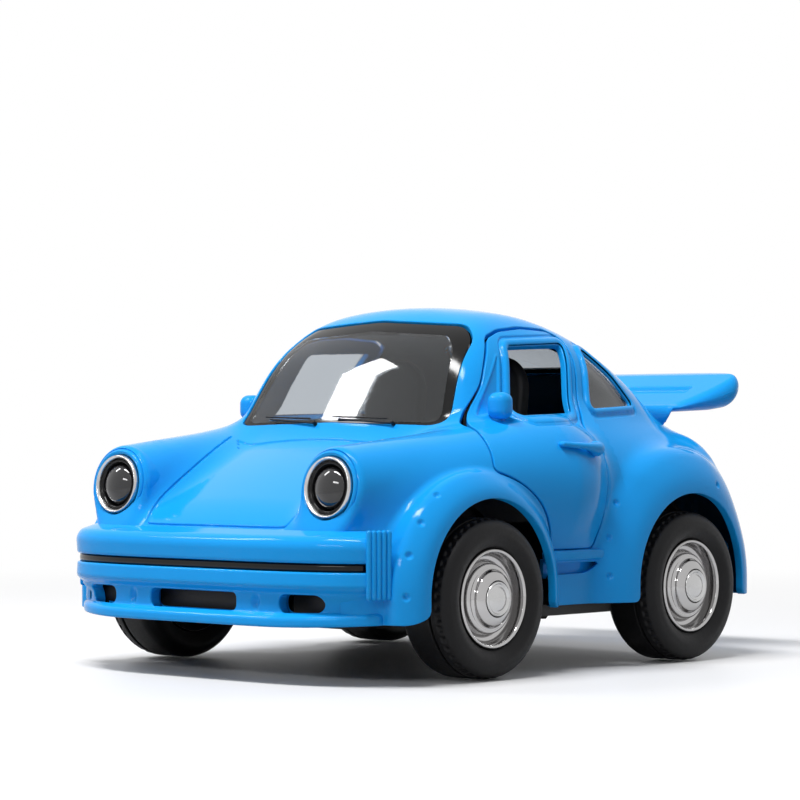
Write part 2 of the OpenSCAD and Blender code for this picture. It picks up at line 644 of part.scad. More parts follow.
module chassis() {
    color(black) difference() {
        union() {
            translate([0, 0, chassis_low]) linear_extrude(chassis_top - chassis_low) difference() {
                union() {
                    round_box(-tail_reach + 5.8, front_reach - 7, -end_y, end_y, 8);
                    round_box(rear_x + liner_r + 0.2, front_x - liner_r - 0.2, -side_y, side_y, 1);
                }
                well_plan();
            }
            translate([0, 0, pan_low]) linear_extrude(chassis_low - pan_low)
                round_box(case_x1 + 1, post_x[0] - 4.4, -pan_y, pan_y, 4);
            for (side = [0, 1]) mirror([0, side]) along_y(pan_y, pan_y + 4) polygon([[-8, chassis_low],
                [-6, pan_low], [-2, pan_low + 0.2], [0, pan_low - 0.4], [4, pan_low - 0.4], [7, chassis_low]]);
            for (side = [0, 1]) mirror([0, side, 0]) {
                wheel_liner(front_x);
                wheel_liner(rear_x);
            }
        }
        translate([case_x0 - case_room, case_y0 - case_room, 0])
            cube([case_x1 - case_x0 + 2*case_room, case_y1 - case_y0 + 2*case_room, 20]);
        for (x = post_x) translate([x, 0, 0]) cylinder(r = screw_r + 0.25, h = 20, $fn = 24);
    }
}
module chassis_screws() {
    color(steel) for (x = post_x) translate([x, 0, chassis_low]) {
        cylinder(r = screw_r, h = 8, $fn = 32);
        difference() {
            translate([0, 0, -0.9]) cylinder(r = 1.7, h = 0.88, $fn = 32);
            for (a = [0, 90]) rotate([0, 0, a]) translate([-1.1, -0.2, -1]) cube([2.2, 0.4, 0.5]);
        }
    }
}

// Interior
tub_z = case_z1 + 0.5;
tub_t = 1.2;
tub_y = well_in_y - bearing_w - 0.3;
tub_x0 = -20;
tub_x1 = cowl_x - 1;
tub_wall_h = 7;
bench_x = tub_x0 + 8.6;
leg_x = [tub_x1 - 6, tub_x0 + 3];
leg_y = 15;
module interior_tub() {
    color(black) {
        translate([tub_x0, -tub_y, tub_z]) cube([tub_x1 - tub_x0, 2*tub_y, tub_t]);
        for (side = [0, 1]) mirror([0, side, 0]) {
            translate([tub_x0, tub_y - tub_t, tub_z]) cube([tub_x1 - tub_x0, tub_t, tub_wall_h]);
            for (x = leg_x) translate([x, leg_y, chassis_top + 0.02])
                cylinder(r = 2, h = tub_z - chassis_top + 0.1, $fn = 32);
        }
        translate([bench_x + 0.3, -2, tub_z]) cube([tub_x1 - 8.3 - bench_x, 4, 3.2]);
    }
}
dash_z = hood_h - 2.4;
dash_x = cowl_x - 6.4;
steer_z = dash_z - 3.6;
seat_y = tub_y/2 - 0.15;
seat_w = seat_y + 1;
seat_x = dash_x - 17.6;
seat_top = window_top - 1.6;
seat_floor = tub_z + tub_t + 0.02;
module seat(side) {
    color(black) mirror([0, side, 0]) translate([seat_x, seat_y, seat_floor]) {
        h = seat_top - seat_floor;
        along_y(-seat_w/2, seat_w/2) polygon([[-1, 0], [10, 0], [11.4, 1.4], [11.4, 4.4], [10, 5.4], [0.8, 4.4]]);
        intersection() {
            along_y(-seat_w/2, seat_w/2) polygon([[-1, 0], [2.6, 0], [0.2, h], [-2.4, h - 1], [-2, h*0.4]]);
            rotate([90, 0, 90]) translate([0, 0, -10]) linear_extrude(20) {
                translate([0, h - seat_w/2]) circle(r = seat_w/2, $fn = 40);
                translate([-seat_w/2, -1]) square([seat_w, h - seat_w/2 + 1]);
            }
        }
    }
}
module left_seat() seat(0);
module right_seat() seat(1);
bench_z = belt_h - 7.6;
bench_y = tub_y - tub_t - piece_gap;
module rear_bench() {
    color(black) along_y(-bench_y, bench_y) polygon([[tub_x0 - 14, bench_z - 2.6], [tub_x0 - 14, bench_z - 0.6],
        [tub_x0 - 3, bench_z], [tub_x0 + 1, bench_z + 3.4], [tub_x0 + 3.4, bench_z + 3], [tub_x0 + 2.6, seat_floor + 5],
        [bench_x - 0.6, seat_floor + 4.6], [bench_x, seat_floor], [tub_x0 + 0.6, seat_floor],
        [tub_x0 - 0.4, bench_z - 2.6]]);
}
module dashboard() {
    color(black) difference() {
        along_y(-tub_y + 1.6, tub_y - 1.6) polygon([[dash_x, dash_z - 6], [dash_x + 4.6, tub_z + tub_t + 0.02],
            [dash_x + 5.2, tub_z + tub_t + 0.02], [dash_x + 6.4, dash_z - 0.6], [dash_x + 4, dash_z],
            [dash_x + 1, dash_z - 0.7], [dash_x, dash_z - 2]]);
        translate([dash_x - 1, seat_y, steer_z]) rotate([0, 90 - 22, 0]) cylinder(r = 0.85, h = 3, $fn = 24);
    }
}
wheel_r = 0.6*(steer_z - tub_z - tub_t);
module steering_wheel() {
    color(black) translate([dash_x - 1, seat_y, steer_z]) rotate([0, 90 - 22, 0]) {
        translate([0, 0, -3]) cylinder(r = 0.8, h = 5.9, $fn = 24);
        translate([0, 0, -3.2]) {
            rotate_extrude($fn = 48) translate([wheel_r, 0]) circle(r = 0.55, $fn = 16);
            cylinder(r = 1.3, h = 0.7, $fn = 24);
            for (a = [90, 210, 330]) rotate([0, 0, a]) translate([0, -0.45, -0.2]) cube([wheel_r, 0.9, 0.4]);
        }
    }
}

// Doors: an outer skin with a narrower inner skin, on a bent arm that reaches the hinge
door_lip = 0.6;
door_inset = 0.8;
mirror_x = screen_x - 9;
mirror_z = belt_h + 1.4;
handle_x = pillar_x + 7.9;
handle_z = belt_h - 5.2;
arm_t = 1.5;
arm_y0 = hinge_y - 4.2 - arm_t;
arm_x0 = hinge_x - 10.8;
arm_z0 = hinge_low + 1.2;
arm_z1 = hinge_high - 0.1;
arm_reach = 2.9;
module door_skin() {
    intersection() {
        skin_plate([pillar_x - 2.7, 0], [cowl_x + 1.4, 0], -10, 64, 0, -door_lip, 13, 17);
        along_y(10, 50) door_outline();
    }
    intersection() {
        skin_plate([pillar_x - 2.7, 0], [cowl_x + 1.4, 0], -10, 64, -door_lip + 0.1, -door_wall, 8, 10);
        along_y(10, 50) offset(delta = -door_inset) door_outline();
    }
}
module door() {
    color(paint) difference() {
        union() {
            resize([0, 0, 0]) {
                difference() {
                    door_skin();
                    along_y(10, 50) side_window();
                }
                hull() for (x = [handle_x, handle_x + 8.4]) translate([x, half_width(x) + 0.3, handle_z])
                    sphere(r = 0.7, $fn = 12);
                translate([handle_x + 0.8, half_width(handle_x + 0.8) + 0.1, handle_z - 0.6])
                    sphere(r = 1.3, $fn = 14);
                translate([mirror_x, cabin_w/2 + 1.6, mirror_z]) scale([0.9, 1, 1.02]) sphere(r = 2.1, $fn = 20);
                hull() {
                    translate([mirror_x, cabin_w/2 + 1.4, mirror_z - 1.5]) sphere(r = 0.7, $fn = 12);
                    translate([mirror_x, cabin_w/2 + 0.6, mirror_z - 3.6]) sphere(r = 0.9, $fn = 12);
                }
            }
            translate([hinge_x, hinge_y, hinge_low]) cylinder(r = knuckle_r, h = hinge_high - hinge_low, $fn = 32);
            translate([0, 0, arm_z0]) linear_extrude(arm_z1 - arm_z0) polygon([[hinge_x - 0.8, hinge_y],
                [hinge_x - 0.8, arm_y0 + arm_t], [arm_x0 + arm_t, arm_y0 + arm_t], [arm_x0 + arm_t, hinge_y + arm_reach],
                [arm_x0, hinge_y + arm_reach], [arm_x0, arm_y0], [hinge_x + 0.8, arm_y0], [hinge_x + 0.8, hinge_y]]);
        }
        translate([hinge_x, hinge_y, 0]) cylinder(r = hinge_bore_r, h = 60, $fn = 32);
    }
}
module left_door() door();
module right_door() mirror([0, 1, 0]) door();
module hinge_pin(side) {
    color(steel) mirror([0, side, 0]) translate([hinge_x, hinge_y, hinge_low - 1.5])
        cylinder(r = hinge_pin_d/2, h = hinge_high - hinge_low + 3, $fn = 32);
}
module left_hinge_pin() hinge_pin(0);
module right_hinge_pin() hinge_pin(1);

// Wheels: each is drawn from the car's middle outwards and turned round for the right side
rim_face = front_edge_y - 0.4;
rim_r = rim_d/2;
bead_r = rim_r + 1;
hub_r = 3.2;
cap_r = 2.65;
hub_in = well_in_y + 0.3;
module place_wheel(x, side) {
    mirror([0, side, 0]) translate([x, 0, axle_z]) rotate([-90, 0, 0]) children();
}
module rim(x, side) {
    color(chrome) place_wheel(x, side) rotate_extrude($fn = 64) polygon([[axle_d/2 + 0.01, hub_in], [hub_r, hub_in],
        [hub_r, rim_face - 2.6], [bead_r - 2, rim_face - 2.6], [bead_r - 2, tyre_in_y + 1.2], [bead_r - 0.8, tyre_in_y + 0.6],
        [bead_r - 0.6, rim_face - 0.6], [rim_r, rim_face - 0.5], [rim_r, rim_face + 0.1], [rim_r - 0.35, rim_face + 0.3],
        [rim_r - 0.7, rim_face], [rim_r - 1.1, rim_face - 1.1], [rim_r - 2.2, rim_face - 1.2], [rim_r - 2.4, rim_face - 0.5],
        [rim_r - 3.2, rim_face - 0.3], [rim_r - 3.5, rim_face + 0.3], [cap_r + 0.4, rim_face + 0.9],
        [cap_r + 0.05, rim_face + 1], [cap_r + 0.05, rim_face - 0.6], [axle_d/2 + 0.01, rim_face - 0.6]]);
}
module hub_cap(x, side) {
    color(chrome) place_wheel(x, side) rotate_extrude($fn = 48) polygon([[0, rim_face - 0.58], [cap_r, rim_face - 0.58],
        [cap_r, rim_face + 1], [cap_r - 0.4, rim_face + 1.3], [cap_r - 0.9, rim_face + 1.2], [0, rim_face + 1.1]]);
}
module tyre(x, side) {
    out = track_w/2;
    r = tyre_d/2;
    color(black) place_wheel(x, side)
        rotate_extrude($fn = 64) polygon([[bead_r - 0.5, tyre_in_y + 0.6], [bead_r + 1.4, tyre_in_y],
            [r - 1.2, tyre_in_y + 0.2], [r - 0.3, tyre_in_y + 0.7], [r, tyre_in_y + 1.6], [r, out - 3.4],
            [r - 0.5, out - 3.3], [r - 0.5, out - 2.9], [r, out - 2.8], [r, out - 1.7], [r - 0.35, out - 0.8],
            [r - 1.2, out - 0.2], [r - 2.6, out], [rim_r + 1, out - 0.3], [rim_r + 0.05, out - 0.9],
            [rim_r + 0.05, rim_face - 0.4], [bead_r - 0.5, rim_face - 0.5]]);
}
module front_left_rim() rim(front_x, 0);
module front_right_rim() rim(front_x, 1);
module rear_left_rim() rim(rear_x, 0);
module rear_right_rim() rim(rear_x, 1);
module front_left_hub_cap() hub_cap(front_x, 0);
module front_right_hub_cap() hub_cap(front_x, 1);
module rear_left_hub_cap() hub_cap(rear_x, 0);
module rear_right_hub_cap() hub_cap(rear_x, 1);
module front_left_tyre() tyre(front_x, 0);
module front_right_tyre() tyre(front_x, 1);
module rear_left_tyre() tyre(rear_x, 0);
module rear_right_tyre() tyre(rear_x, 1);
module axle(x) {
    color(steel) translate([x, -rim_face + 0.7, axle_z]) rotate([-90, 0, 0])
        cylinder(r = axle_d/2, h = 2*(rim_face - 0.7), $fn = 48);
}
module front_axle() axle(front_x);
module rear_axle() axle(rear_x);

// Motor: an axle pinion drives a double idler, which winds the spring drum
module gear_outline(teeth, phase) {
    r = gear_r(teeth);
    rb = r*cos(pressure);
    ra = r + 0.9*gear_module;
    rr = r - 1.2*gear_module;
    half = 90/teeth - gear_play/r*180/PI + tan(pressure)*180/PI - pressure;
    last = sqrt(pow(ra/rb, 2) - 1);
    start = rr > rb ? sqrt(pow(rr/rb, 2) - 1) : 0;
    flank = [for (i = [0 : 4]) let (t = start + (last - start)*i/4)
        [rb*sqrt(1 + t*t), t*180/PI - atan(t)]];
    tooth = concat([[rr, -half]], [for (f = flank) [f[0], f[1] - half]],
        [for (i = [4 : -1 : 0]) [flank[i][0], half - flank[i][1]]], [[rr, half]]);
    polygon([for (k = [0 : teeth - 1]) for (q = tooth)
        let (a = q[1] + phase + k*360/teeth) q[0]*[cos(a), sin(a)]]);
}
module spur(x, z, y_from, y_to, teeth, phase, bore_r) {
    difference() {
        along_y(y_from, y_to) translate([x, z]) gear_outline(teeth, phase);
        along_y(y_from - 1, y_to + 1) translate([x, z]) circle(r = bore_r, $fn = 32);
    }
}
module axle_pinion() {
    color(white_plastic) spur(rear_x, axle_z, pinion_y + gear_t*0.1, pinion_y + 1.9*gear_t, pinion_teeth, train_angle,
        axle_d/2 + 0.01);
}
module idler_gear() {
    color(white_plastic) {
        spur(idler_x, idler_z, pinion_y + 0.5*gear_t, pinion_y + 1.5*gear_t, wheel_teeth,
            train_angle + 180 + 180/wheel_teeth, idler_pin_r + running_fit);
        spur(idler_x, idler_z, drum_y + 0.1, pinion_y + 0.5*gear_t, pinion_teeth, 0, idler_pin_r + running_fit);
    }
}
module idler_pin() {
    color(steel) along_y(case_y0 + case_wall/2, case_y1 - case_wall/2) translate([idler_x, idler_z])
        circle(r = idler_pin_r, $fn = 32);
}
module spring_drum() {
    color(white_plastic) {
        spur(drum_x, drum_z, drum_y, drum_y + gear_t, wheel_teeth, 180 + 180/wheel_teeth, arbor_r + running_fit);
        difference() {
            along_y(drum_y - cup_w, drum_y) translate([drum_x, drum_z]) circle(r = cup_r, $fn = 64);
            along_y(drum_y - cup_w - 1, drum_y - 0.001) translate([drum_x, drum_z]) circle(r = cup_r - cup_wall, $fn = 64);
        }
    }
}
module spring_arbor() {
    color(steel) along_y(case_y0 + case_wall/2, case_y1 - case_wall/2) translate([drum_x, drum_z])
        circle(r = arbor_r, $fn = 32);
}
spring_turns = 5;
spring_t = 0.18;
spring_r0 = arbor_r + 0.02;
spring_r1 = cup_r - cup_wall - 0.45;
function spiral(t, off) = let (r = spring_r0 + off + (spring_r1 - spring_r0)*t, a = 360*spring_turns*t)
    [r*cos(a), r*sin(a)];
module mainspring() {
    color(steel) along_y(drum_y - cup_w + 0.4, drum_y - 0.4) translate([drum_x, drum_z])
        polygon(concat([for (i = [0 : 90]) spiral(i/90, 0)], [for (i = [90 : -1 : 0]) spiral(i/90, spring_t)]));
}
module case_half(y0, y1, open_low) {
    difference() {
        union() {
            difference() {
                translate([case_x0, y0, case_z0]) cube([case_x1 - case_x0, y1 - y0, case_z1 - case_z0]);
                translate([case_x0 + case_wall, y0 + (open_low ? -1 : case_wall), case_z0 + case_wall])
                    cube([case_x1 - case_x0 - 2*case_wall, y1 - y0 - case_wall + 1, case_z1 - case_z0 - 2*case_wall]);
            }
            for (s = boss_spots) along_y(y0, y1) translate(s) circle(r = 1.2, $fn = 32);
        }
        along_y(y0 - 1, y1 + 1) {
            translate([rear_x, axle_z]) circle(r = axle_bore_r, $fn = 32);
            translate([idler_x, idler_z]) circle(r = idler_pin_r + 0.01, $fn = 32);
            translate([drum_x, drum_z]) circle(r = arbor_r + 0.01, $fn = 32);
            for (s = boss_spots) translate(s) circle(r = 0.62, $fn = 32);
        }
    }
}
lug_x = rear_x + 4;
lug_w = 12;
module lug(y0) {
    translate([lug_x, y0, chassis_top + 0.01]) cube([lug_w, 2.4, 1.2]);
}
module motor_case_left() {
    color(black) {
        case_half(case_split, case_y1, true);
        lug(case_y1);
    }
}
module motor_case_right() {
    color(black) {
        case_half(case_y0, case_split - 0.01, false);
        lug(case_y0 - 2.4);
    }
}
module motor_screws() {
    color(steel) for (s = boss_spots) {
        along_y(case_y0, case_y1 - 0.8) translate(s) circle(r = 0.6, $fn = 32);
        along_y(case_y0 - 0.8, case_y0 - 0.01) translate(s) circle(r = 1.1, $fn = 32);
    }
}

body_shell();
tail_wing();
windscreen();
rear_window();
left_quarter_window();
right_quarter_window();
wipers();
left_headlamp_rim();
right_headlamp_rim();
left_headlamp_bowl();
right_headlamp_bowl();
left_headlamp_lens();
right_headlamp_lens();
bumper_strip();
intake_grilles();
left_tail_lamp();
right_tail_lamp();
chassis();
chassis_screws();
interior_tub();
left_seat();
right_seat();
rear_bench();
dashboard();
steering_wheel();
left_door();
right_door();
left_hinge_pin();
right_hinge_pin();
front_axle();
rear_axle();
front_left_rim();
front_right_rim();
rear_left_rim();
rear_right_rim();
front_left_hub_cap();
front_right_hub_cap();
rear_left_hub_cap();
rear_right_hub_cap();
front_left_tyre();
front_right_tyre();
rear_left_tyre();
rear_right_tyre();
motor_case_left();
motor_case_right();
motor_screws();
axle_pinion();
idler_gear();
idler_pin();
spring_drum();
spring_arbor();
mainspring();
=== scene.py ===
import json
import math
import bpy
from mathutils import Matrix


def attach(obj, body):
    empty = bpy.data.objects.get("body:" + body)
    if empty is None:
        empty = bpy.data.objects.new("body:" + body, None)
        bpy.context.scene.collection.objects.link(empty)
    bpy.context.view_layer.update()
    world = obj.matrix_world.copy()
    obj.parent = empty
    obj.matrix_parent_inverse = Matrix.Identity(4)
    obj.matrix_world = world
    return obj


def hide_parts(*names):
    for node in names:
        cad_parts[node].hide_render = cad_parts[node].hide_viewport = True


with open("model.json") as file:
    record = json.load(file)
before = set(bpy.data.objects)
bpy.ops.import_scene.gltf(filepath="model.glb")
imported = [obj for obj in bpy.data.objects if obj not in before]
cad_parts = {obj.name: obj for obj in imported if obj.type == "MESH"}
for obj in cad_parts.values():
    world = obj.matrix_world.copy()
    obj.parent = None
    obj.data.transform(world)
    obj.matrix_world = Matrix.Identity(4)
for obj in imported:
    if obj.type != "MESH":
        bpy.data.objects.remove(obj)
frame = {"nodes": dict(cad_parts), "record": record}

import types

import bmesh
import bpy
import mathutils
import numpy as np
from bpy.props import FloatProperty, FloatVectorProperty
from mathutils import Matrix, Vector

bl_info = {
    "name": "Pull back car",
    "version": (1, 0, 0),
    "blender": (4, 5, 0),
    "location": "View3D > Sidebar > Car",
    "description": "Builds the finished surfaces of a small die-cast pull back car",
    "category": "Add Mesh",
}
MM = 0.001


def linear(code):
    """An sRGB hex code as a linear colour."""
    parts = [int(code[i:i + 2], 16) / 255 for i in (1, 3, 5)]
    return tuple(c / 12.92 if c <= 0.04045 else ((c + 0.055) / 1.055) ** 2.4 for c in parts)


def length(name, value):
    return FloatProperty(name=name, default=value, description=name + ", in millimetres")


class CarSizes(bpy.types.PropertyGroup):
    """Sizes of the car, in millimetres"""
    wheelbase: length("Distance between the axles", 49.2)
    front_reach: length("Middle to the front bumper's face", 53)
    wing_reach: length("Middle to the tip of the tail wing", 53)
    tail_reach: length("Middle to the back panel", 46)
    body_w: length("Width over the doors", 66)
    roof_h: length("Height of the roof", 57)
    hood_h: length("Height of the hood at the windscreen", 36.8)
    belt_h: length("Height of the side windows' lower edge", 39.6)
    skirt_h: length("Height of the body's lower edge", 10)
    cabin_w: length("Width of the cabin at the belt line", 53.2)
    wall: length("Wall of the casting", 1.2)
    tyre_d: length("Diameter of the tyres", 24)
    tyre_w: length("Width of the tyres", 9.8)
    track_w: length("Width over the tyres", 73.8)
    rim_d: length("Diameter of the rims' lip", 15)
    arch_gap: length("Room between tyre and arch", 2.3)
    front_flare_w: length("Width of the front flares", 4.2)
    rear_flare_w: length("Width of the rear flares", 7.2)
    door_gap: length("Gap round a door", 0.4)
    lamp_d: length("Diameter of the headlamps' rims", 9.4)
    lamp_h: length("Height of the headlamps", 28.6)
    lamp_track: length("Distance between the headlamps", 45.6)
    edge_r: length("Radius of the casting's edges", 0.2)


class CarColours(bpy.types.PropertyGroup):
    """Colours of the car"""
    enamel: FloatVectorProperty(name="Enamel", subtype="COLOR", size=3, default=linear("#179BEA"))
    black: FloatVectorProperty(name="Black plastic", subtype="COLOR", size=3, default=linear("#0B0B0D"))
    rubber: FloatVectorProperty(name="Rubber", subtype="COLOR", size=3, default=linear("#0E0E10"))
    lamp_red: FloatVectorProperty(name="Tail lamps", subtype="COLOR", size=3, default=linear("#8E0C0C"))
    nylon: FloatVectorProperty(name="Gears", subtype="COLOR", size=3, default=linear("#E6E3D8"))


def sizes():
    """The sizes and what follows from them."""
    group = bpy.context.scene.car_sizes
    d = types.SimpleNamespace(**{k: getattr(group, k) for k in CarSizes.__annotations__})
    d.axle_z = d.tyre_d / 2
    d.front_x, d.rear_x = d.wheelbase / 2, -d.wheelbase / 2
    d.nose_x = d.front_reach - 2.2
    d.cowl_x = d.front_reach - 33
    d.screen_x = d.cowl_x + 2.6
    d.lamp_x, d.lamp_y = d.front_reach - 7, d.lamp_track / 2
    d.pod_r = d.lamp_d / 2 + 1.5
    d.arch_r = d.tyre_d / 2 + d.arch_gap
    d.arch_z = d.axle_z + 0.6
    d.front_edge_y, d.rear_edge_y = d.track_w / 2 - 0.5, d.track_w / 2 - 0.1
    d.tyre_in_y = d.track_w / 2 - d.tyre_w
    d.window_top, d.screen_top = d.roof_h - 6.4, d.roof_h - 3.4
    d.sill_top = d.skirt_h + 8.7
    d.lip_z = d.skirt_h - 2
    d.bumper_top = d.skirt_h + 11.9
    d.wing_top = d.belt_h + 6.9
    d.pillar_x = d.rear_x + d.arch_r + d.rear_flare_w - 8.2
    d.rim_face = d.front_edge_y - 0.4
    d.hinge_x, d.hinge_y = d.front_x - 0.6, d.body_w / 2 - 2
    d.hinge_low = d.arch_z + d.arch_r + 1.5
    return d


# ---- the body's form: a function that is negative inside and grows outwards ----

def smin(a, b, k):
    """The lesser of two distances, blended over k."""
    h = np.maximum(k - np.abs(a - b), 0) / k
    return np.minimum(a, b) - h * h * k / 4


def smax(a, b, k):
    return -smin(-a, -b, k)


def ease(t):
    """Nought to one, smoothly."""
    c = np.clip(t, 0, 1)
    return c * c * (3 - 2 * c)


def hood_at(d, x):
    u = x - d.cowl_x
    return d.hood_h - 0.377 * u - 0.003 * u * np.abs(u)


def roof_at(d, x):
    return d.roof_h - np.where(x > 0, 0.0143, 0.0111) * x * x


def half_width(d, x):
    return (d.body_w / 2 - 0.0155 * np.maximum(x - 33, 0) ** 2 + ease((-5 - x) / 15)
            - 0.03 * np.maximum(-35 - x, 0) ** 2)


def flare_form(d, x, y, z, centre, width, edge, drop, soft):
    """A flare round a wheel arch: its face falls by drop from the edge outwards."""
    rho = np.hypot(x - centre, np.maximum(z - d.arch_z, 0))
    u = np.clip((rho - d.arch_r) / width, -0.4, 1.6)
    return smax(y - (edge - drop * u * np.abs(u)), rho - (d.arch_r + width), soft)


def form(d, p):
    """The closed form of the body: base, lamp ridges, cabin and flares."""
    x, y, z = p[:, 0], np.abs(p[:, 1]), p[:, 2]
    tail = -x - (d.tail_reach - 0.004 * y * y) + 0.21 * np.maximum(z - 22, 0)
    crown = smin(smin(hood_at(d, x), d.belt_h, 4), roof_at(d, x) - 0.6, 4)
    top = (z - crown + np.where(x < -10, 0.0045, 0.0022) * y * y) * 0.93
    nose = x - (d.nose_x - 0.0035 * y * y) + 0.12 * np.maximum(z - 18, 0)
    base = smax(smax(smax(y - half_width(d, x), top, 9), nose, 3), tail, 5)
    u = np.clip((d.lamp_x - x) / 32, 0, 1.3)
    tube = np.hypot(y - d.lamp_y - 0.1 - 2.6 * u, z - d.lamp_h + 0.3 - 0.2 * u) - d.pod_r - 3.3 * u
    ridge = smax(smax(tube, x - d.lamp_x - 0.2 + 0.105 * (z - d.lamp_h), 1.2), -6 - x, 10)
    side = (d.cabin_w / 2 - 0.36 * (np.maximum(z, 30) - 38) - 0.003 * np.maximum(z - 46, 0) ** 2
            - 0.0055 * np.maximum(x - 2, 0) ** 2 - 0.0055 * np.maximum(-8 - x, 0) ** 2)
    screen = (x - d.screen_x + 0.56 * (z - 37) + 0.005 * y * y) * 0.872
    roof = (z - roof_at(d, x) + 0.006 * y * y) * 0.93
    cabin = np.maximum(smax(smax((y - side) * 0.93, screen, 4), roof, 6), tail)
    f = smin(smin(base, ridge, 4), cabin, 2.5 + 3 * ease((-3 - x) / 8) * ease((x + 36) / 10))
    f = smin(f, flare_form(d, x, y, z, d.front_x + 0.8, d.front_flare_w, d.front_edge_y, 2.6, 0.7), 0.9)
    back = ease((-30 - x) / 12)
    rear = flare_form(d, x, y, z, d.rear_x, d.rear_flare_w - 1.7 * back, d.rear_edge_y - 1.0 * back, 3.2, 1.5)
    return smin(f, smax(rear, -d.tail_reach + 3.4 - x, 1.5), 2.2)


def skin(d):
    """The form as a function of points alone."""
    return lambda p: form(d, p)


def slope(f, p, h=0.02):
    """Gradient of a function of points, by small steps."""
    g = np.empty_like(p)
    for i in range(3):
        q = np.zeros(3)
        q[i] = h
        g[:, i] = (f(p + q) - f(p - q)) / (2 * h)
    return g


def unit(v):
    return v / np.maximum(np.linalg.norm(v, axis=1, keepdims=True), 1e-9)


def onto(f, p, rounds=3):
    """Moves points onto the surface where f is nought."""
    p = p.copy()
    for _ in range(rounds):
        g = slope(f, p)
        step = f(p)[:, None] * g / np.maximum((g * g).sum(1), 0.2)[:, None]
        p -= np.clip(step, -2, 2)
    return p


# ---- outlines ----

def rounded(points, r, n=5):
    """A closed outline with its corners rounded."""
    pts = [np.array(p, float) for p in points]
    out = []
    for i, p in enumerate(pts):
        a, b = pts[i - 1] - p, pts[(i + 1) % len(pts)] - p
        la, lb = np.linalg.norm(a), np.linalg.norm(b)
        q, w = p + a / la * min(r, la / 2), p + b / lb * min(r, lb / 2)
        for k in range(n + 1):
            t = k / n
            out.append((1 - t) ** 2 * q + 2 * t * (1 - t) * p + t * t * w)
    return np.array(out)


def inside_distance(outline, u, v):
    """Distance to a closed outline, negative inside."""
    q = np.stack([u, v], 1)
    best = np.full(len(q), 1e9)
    odd = np.zeros(len(q), bool)
    for i in range(len(outline)):
        a, b = outline[i - 1], outline[i]
        e = b - a
        if e @ e < 1e-12:
            continue
        w = q - a
        t = np.clip(w @ e / (e @ e), 0, 1)
        best = np.minimum(best, ((w - t[:, None] * e) ** 2).sum(1))
        cross = (a[1] > q[:, 1]) != (b[1] > q[:, 1])
        if abs(e[1]) > 1e-12:
            odd ^= cross & (q[:, 0] < a[0] + (q[:, 1] - a[1]) / e[1] * e[0])
    return np.where(odd, -1, 1) * np.sqrt(best)


def line_distance(points, p):
    """Distance to an open line of points."""
    best = np.full(len(p), 1e9)
    for a, b in zip(points[:-1], points[1:]):
        e = b - a
        w = p - a
        t = np.clip(w @ e / (e @ e), 0, 1)
        best = np.minimum(best, ((w - t[:, None] * e) ** 2).sum(1))
    return np.sqrt(best)


def door_line(d):
    c, r = d.front_x + 0.8, d.arch_r + d.front_flare_w + 0.35
    low = math.degrees(math.asin((d.sill_top - d.arch_z) / r))
    arc = [(c - r * math.cos(math.radians(a)), d.arch_z + r * math.sin(math.radians(a)))
           for a in np.linspace(low, 78, 12)]
    t, b, h, x, q = d.window_top, d.belt_h, d.hood_h, d.screen_x, d.pillar_x
    return rounded(arc + [
        (d.cowl_x + 0.3, h - 1), (d.cowl_x - 0.8, h + 0.7), (d.cowl_x - 2.1, h + 1.7), (x - 9.7, t - 6.8),
        (x - 12, t - 3.1), (x - 15, t + 0.9), (x - 18.3, t + 2), (q + 9.9, t + 2.6), (q + 2.8, t + 2.4),
        (q, t + 1.2), (q + 0.4, t - 2), (q + 1.5, b + 5.4), (q + 3.7, b + 0.3), (q + 6.3, b - 2.6),
        (q + 5.7, b - 6.2), (q + 5.5, b - 10.4), (q + 7.1, d.sill_top + 4.7), (q + 9.1, d.sill_top)], 0.9, 4)


def side_window_line(d):
    t, b = d.window_top, d.belt_h
    return rounded([(8.6, b - 0.3), (4.6, t - 0.5), (-9.6, t + 0.2), (-5.3, b + 0.2)], 0.9)


def quarter_window_line(d):
    t, b = d.window_top, d.belt_h
    return rounded([(-11.6, b + 1), (-15.2, t - 0.4), (-20.6, t - 4.6), (-24.2, b + 1.6)], 1.0)


def screen_line(d, inset=(0, 0, 0)):
    """The windscreen's outline, or one that is inset at its sides, top and bottom."""
    side, up, down = inset
    h, t = d.hood_h + down, d.screen_top - up
    half = [(0, h + 1.6), (20.3 - side * 0.7, h + 1.1), (22.4 - side, h + 1.8), (19.6 - side, t - 2.4),
            (16.6 - side * 0.7, t + 0.1), (0, t + 1.1)]
    return rounded([(-y, z) for y, z in half[1:-1]] + [half[-1]] + half[-2:0:-1] + [half[0]], 1.6)


def rear_line(d, inset=0.0):
    """The rear window's outline, or one that is inset."""
    w, t, e = d.wing_top + inset, d.screen_top - inset, inset
    half = [(10 - e, t - 0.8), (12 - e, t - 2), (13.6 - e, w + 1.8), (12.6 - e, w + 1.1)]
    return rounded([(-y, z) for y, z in half[2::-1]] + half + [(-half[3][0], half[3][1])], 1.0)


def tail_lamp_line():
    return rounded([(15, 25.2), (15, 29.4), (31.5, 29.4), (31.5, 25.2)], 0.9)


def arch(d, p, centre):
    """Distance to the wheel arch at a centre, negative inside it."""
    return np.hypot(p[:, 0] - centre, np.maximum(p[:, 2] - d.arch_z, 0)) - d.arch_r


# ---- sheets: a half of the car's skin as triangles, refined, cut open and given edges ----

KEY_STEP = 10_000_000  # more than the points of any sheet


def sides_of(faces):
    """The three sides of each face, as pairs of points."""
    return np.concatenate([faces[:, [0, 1]], faces[:, [1, 2]], faces[:, [2, 0]]])


def side_keys(sides):
    """One number for a side, whichever way it runs."""
    sides = np.sort(sides, axis=1)
    return sides[:, 0].astype(np.int64) * KEY_STEP + sides[:, 1]


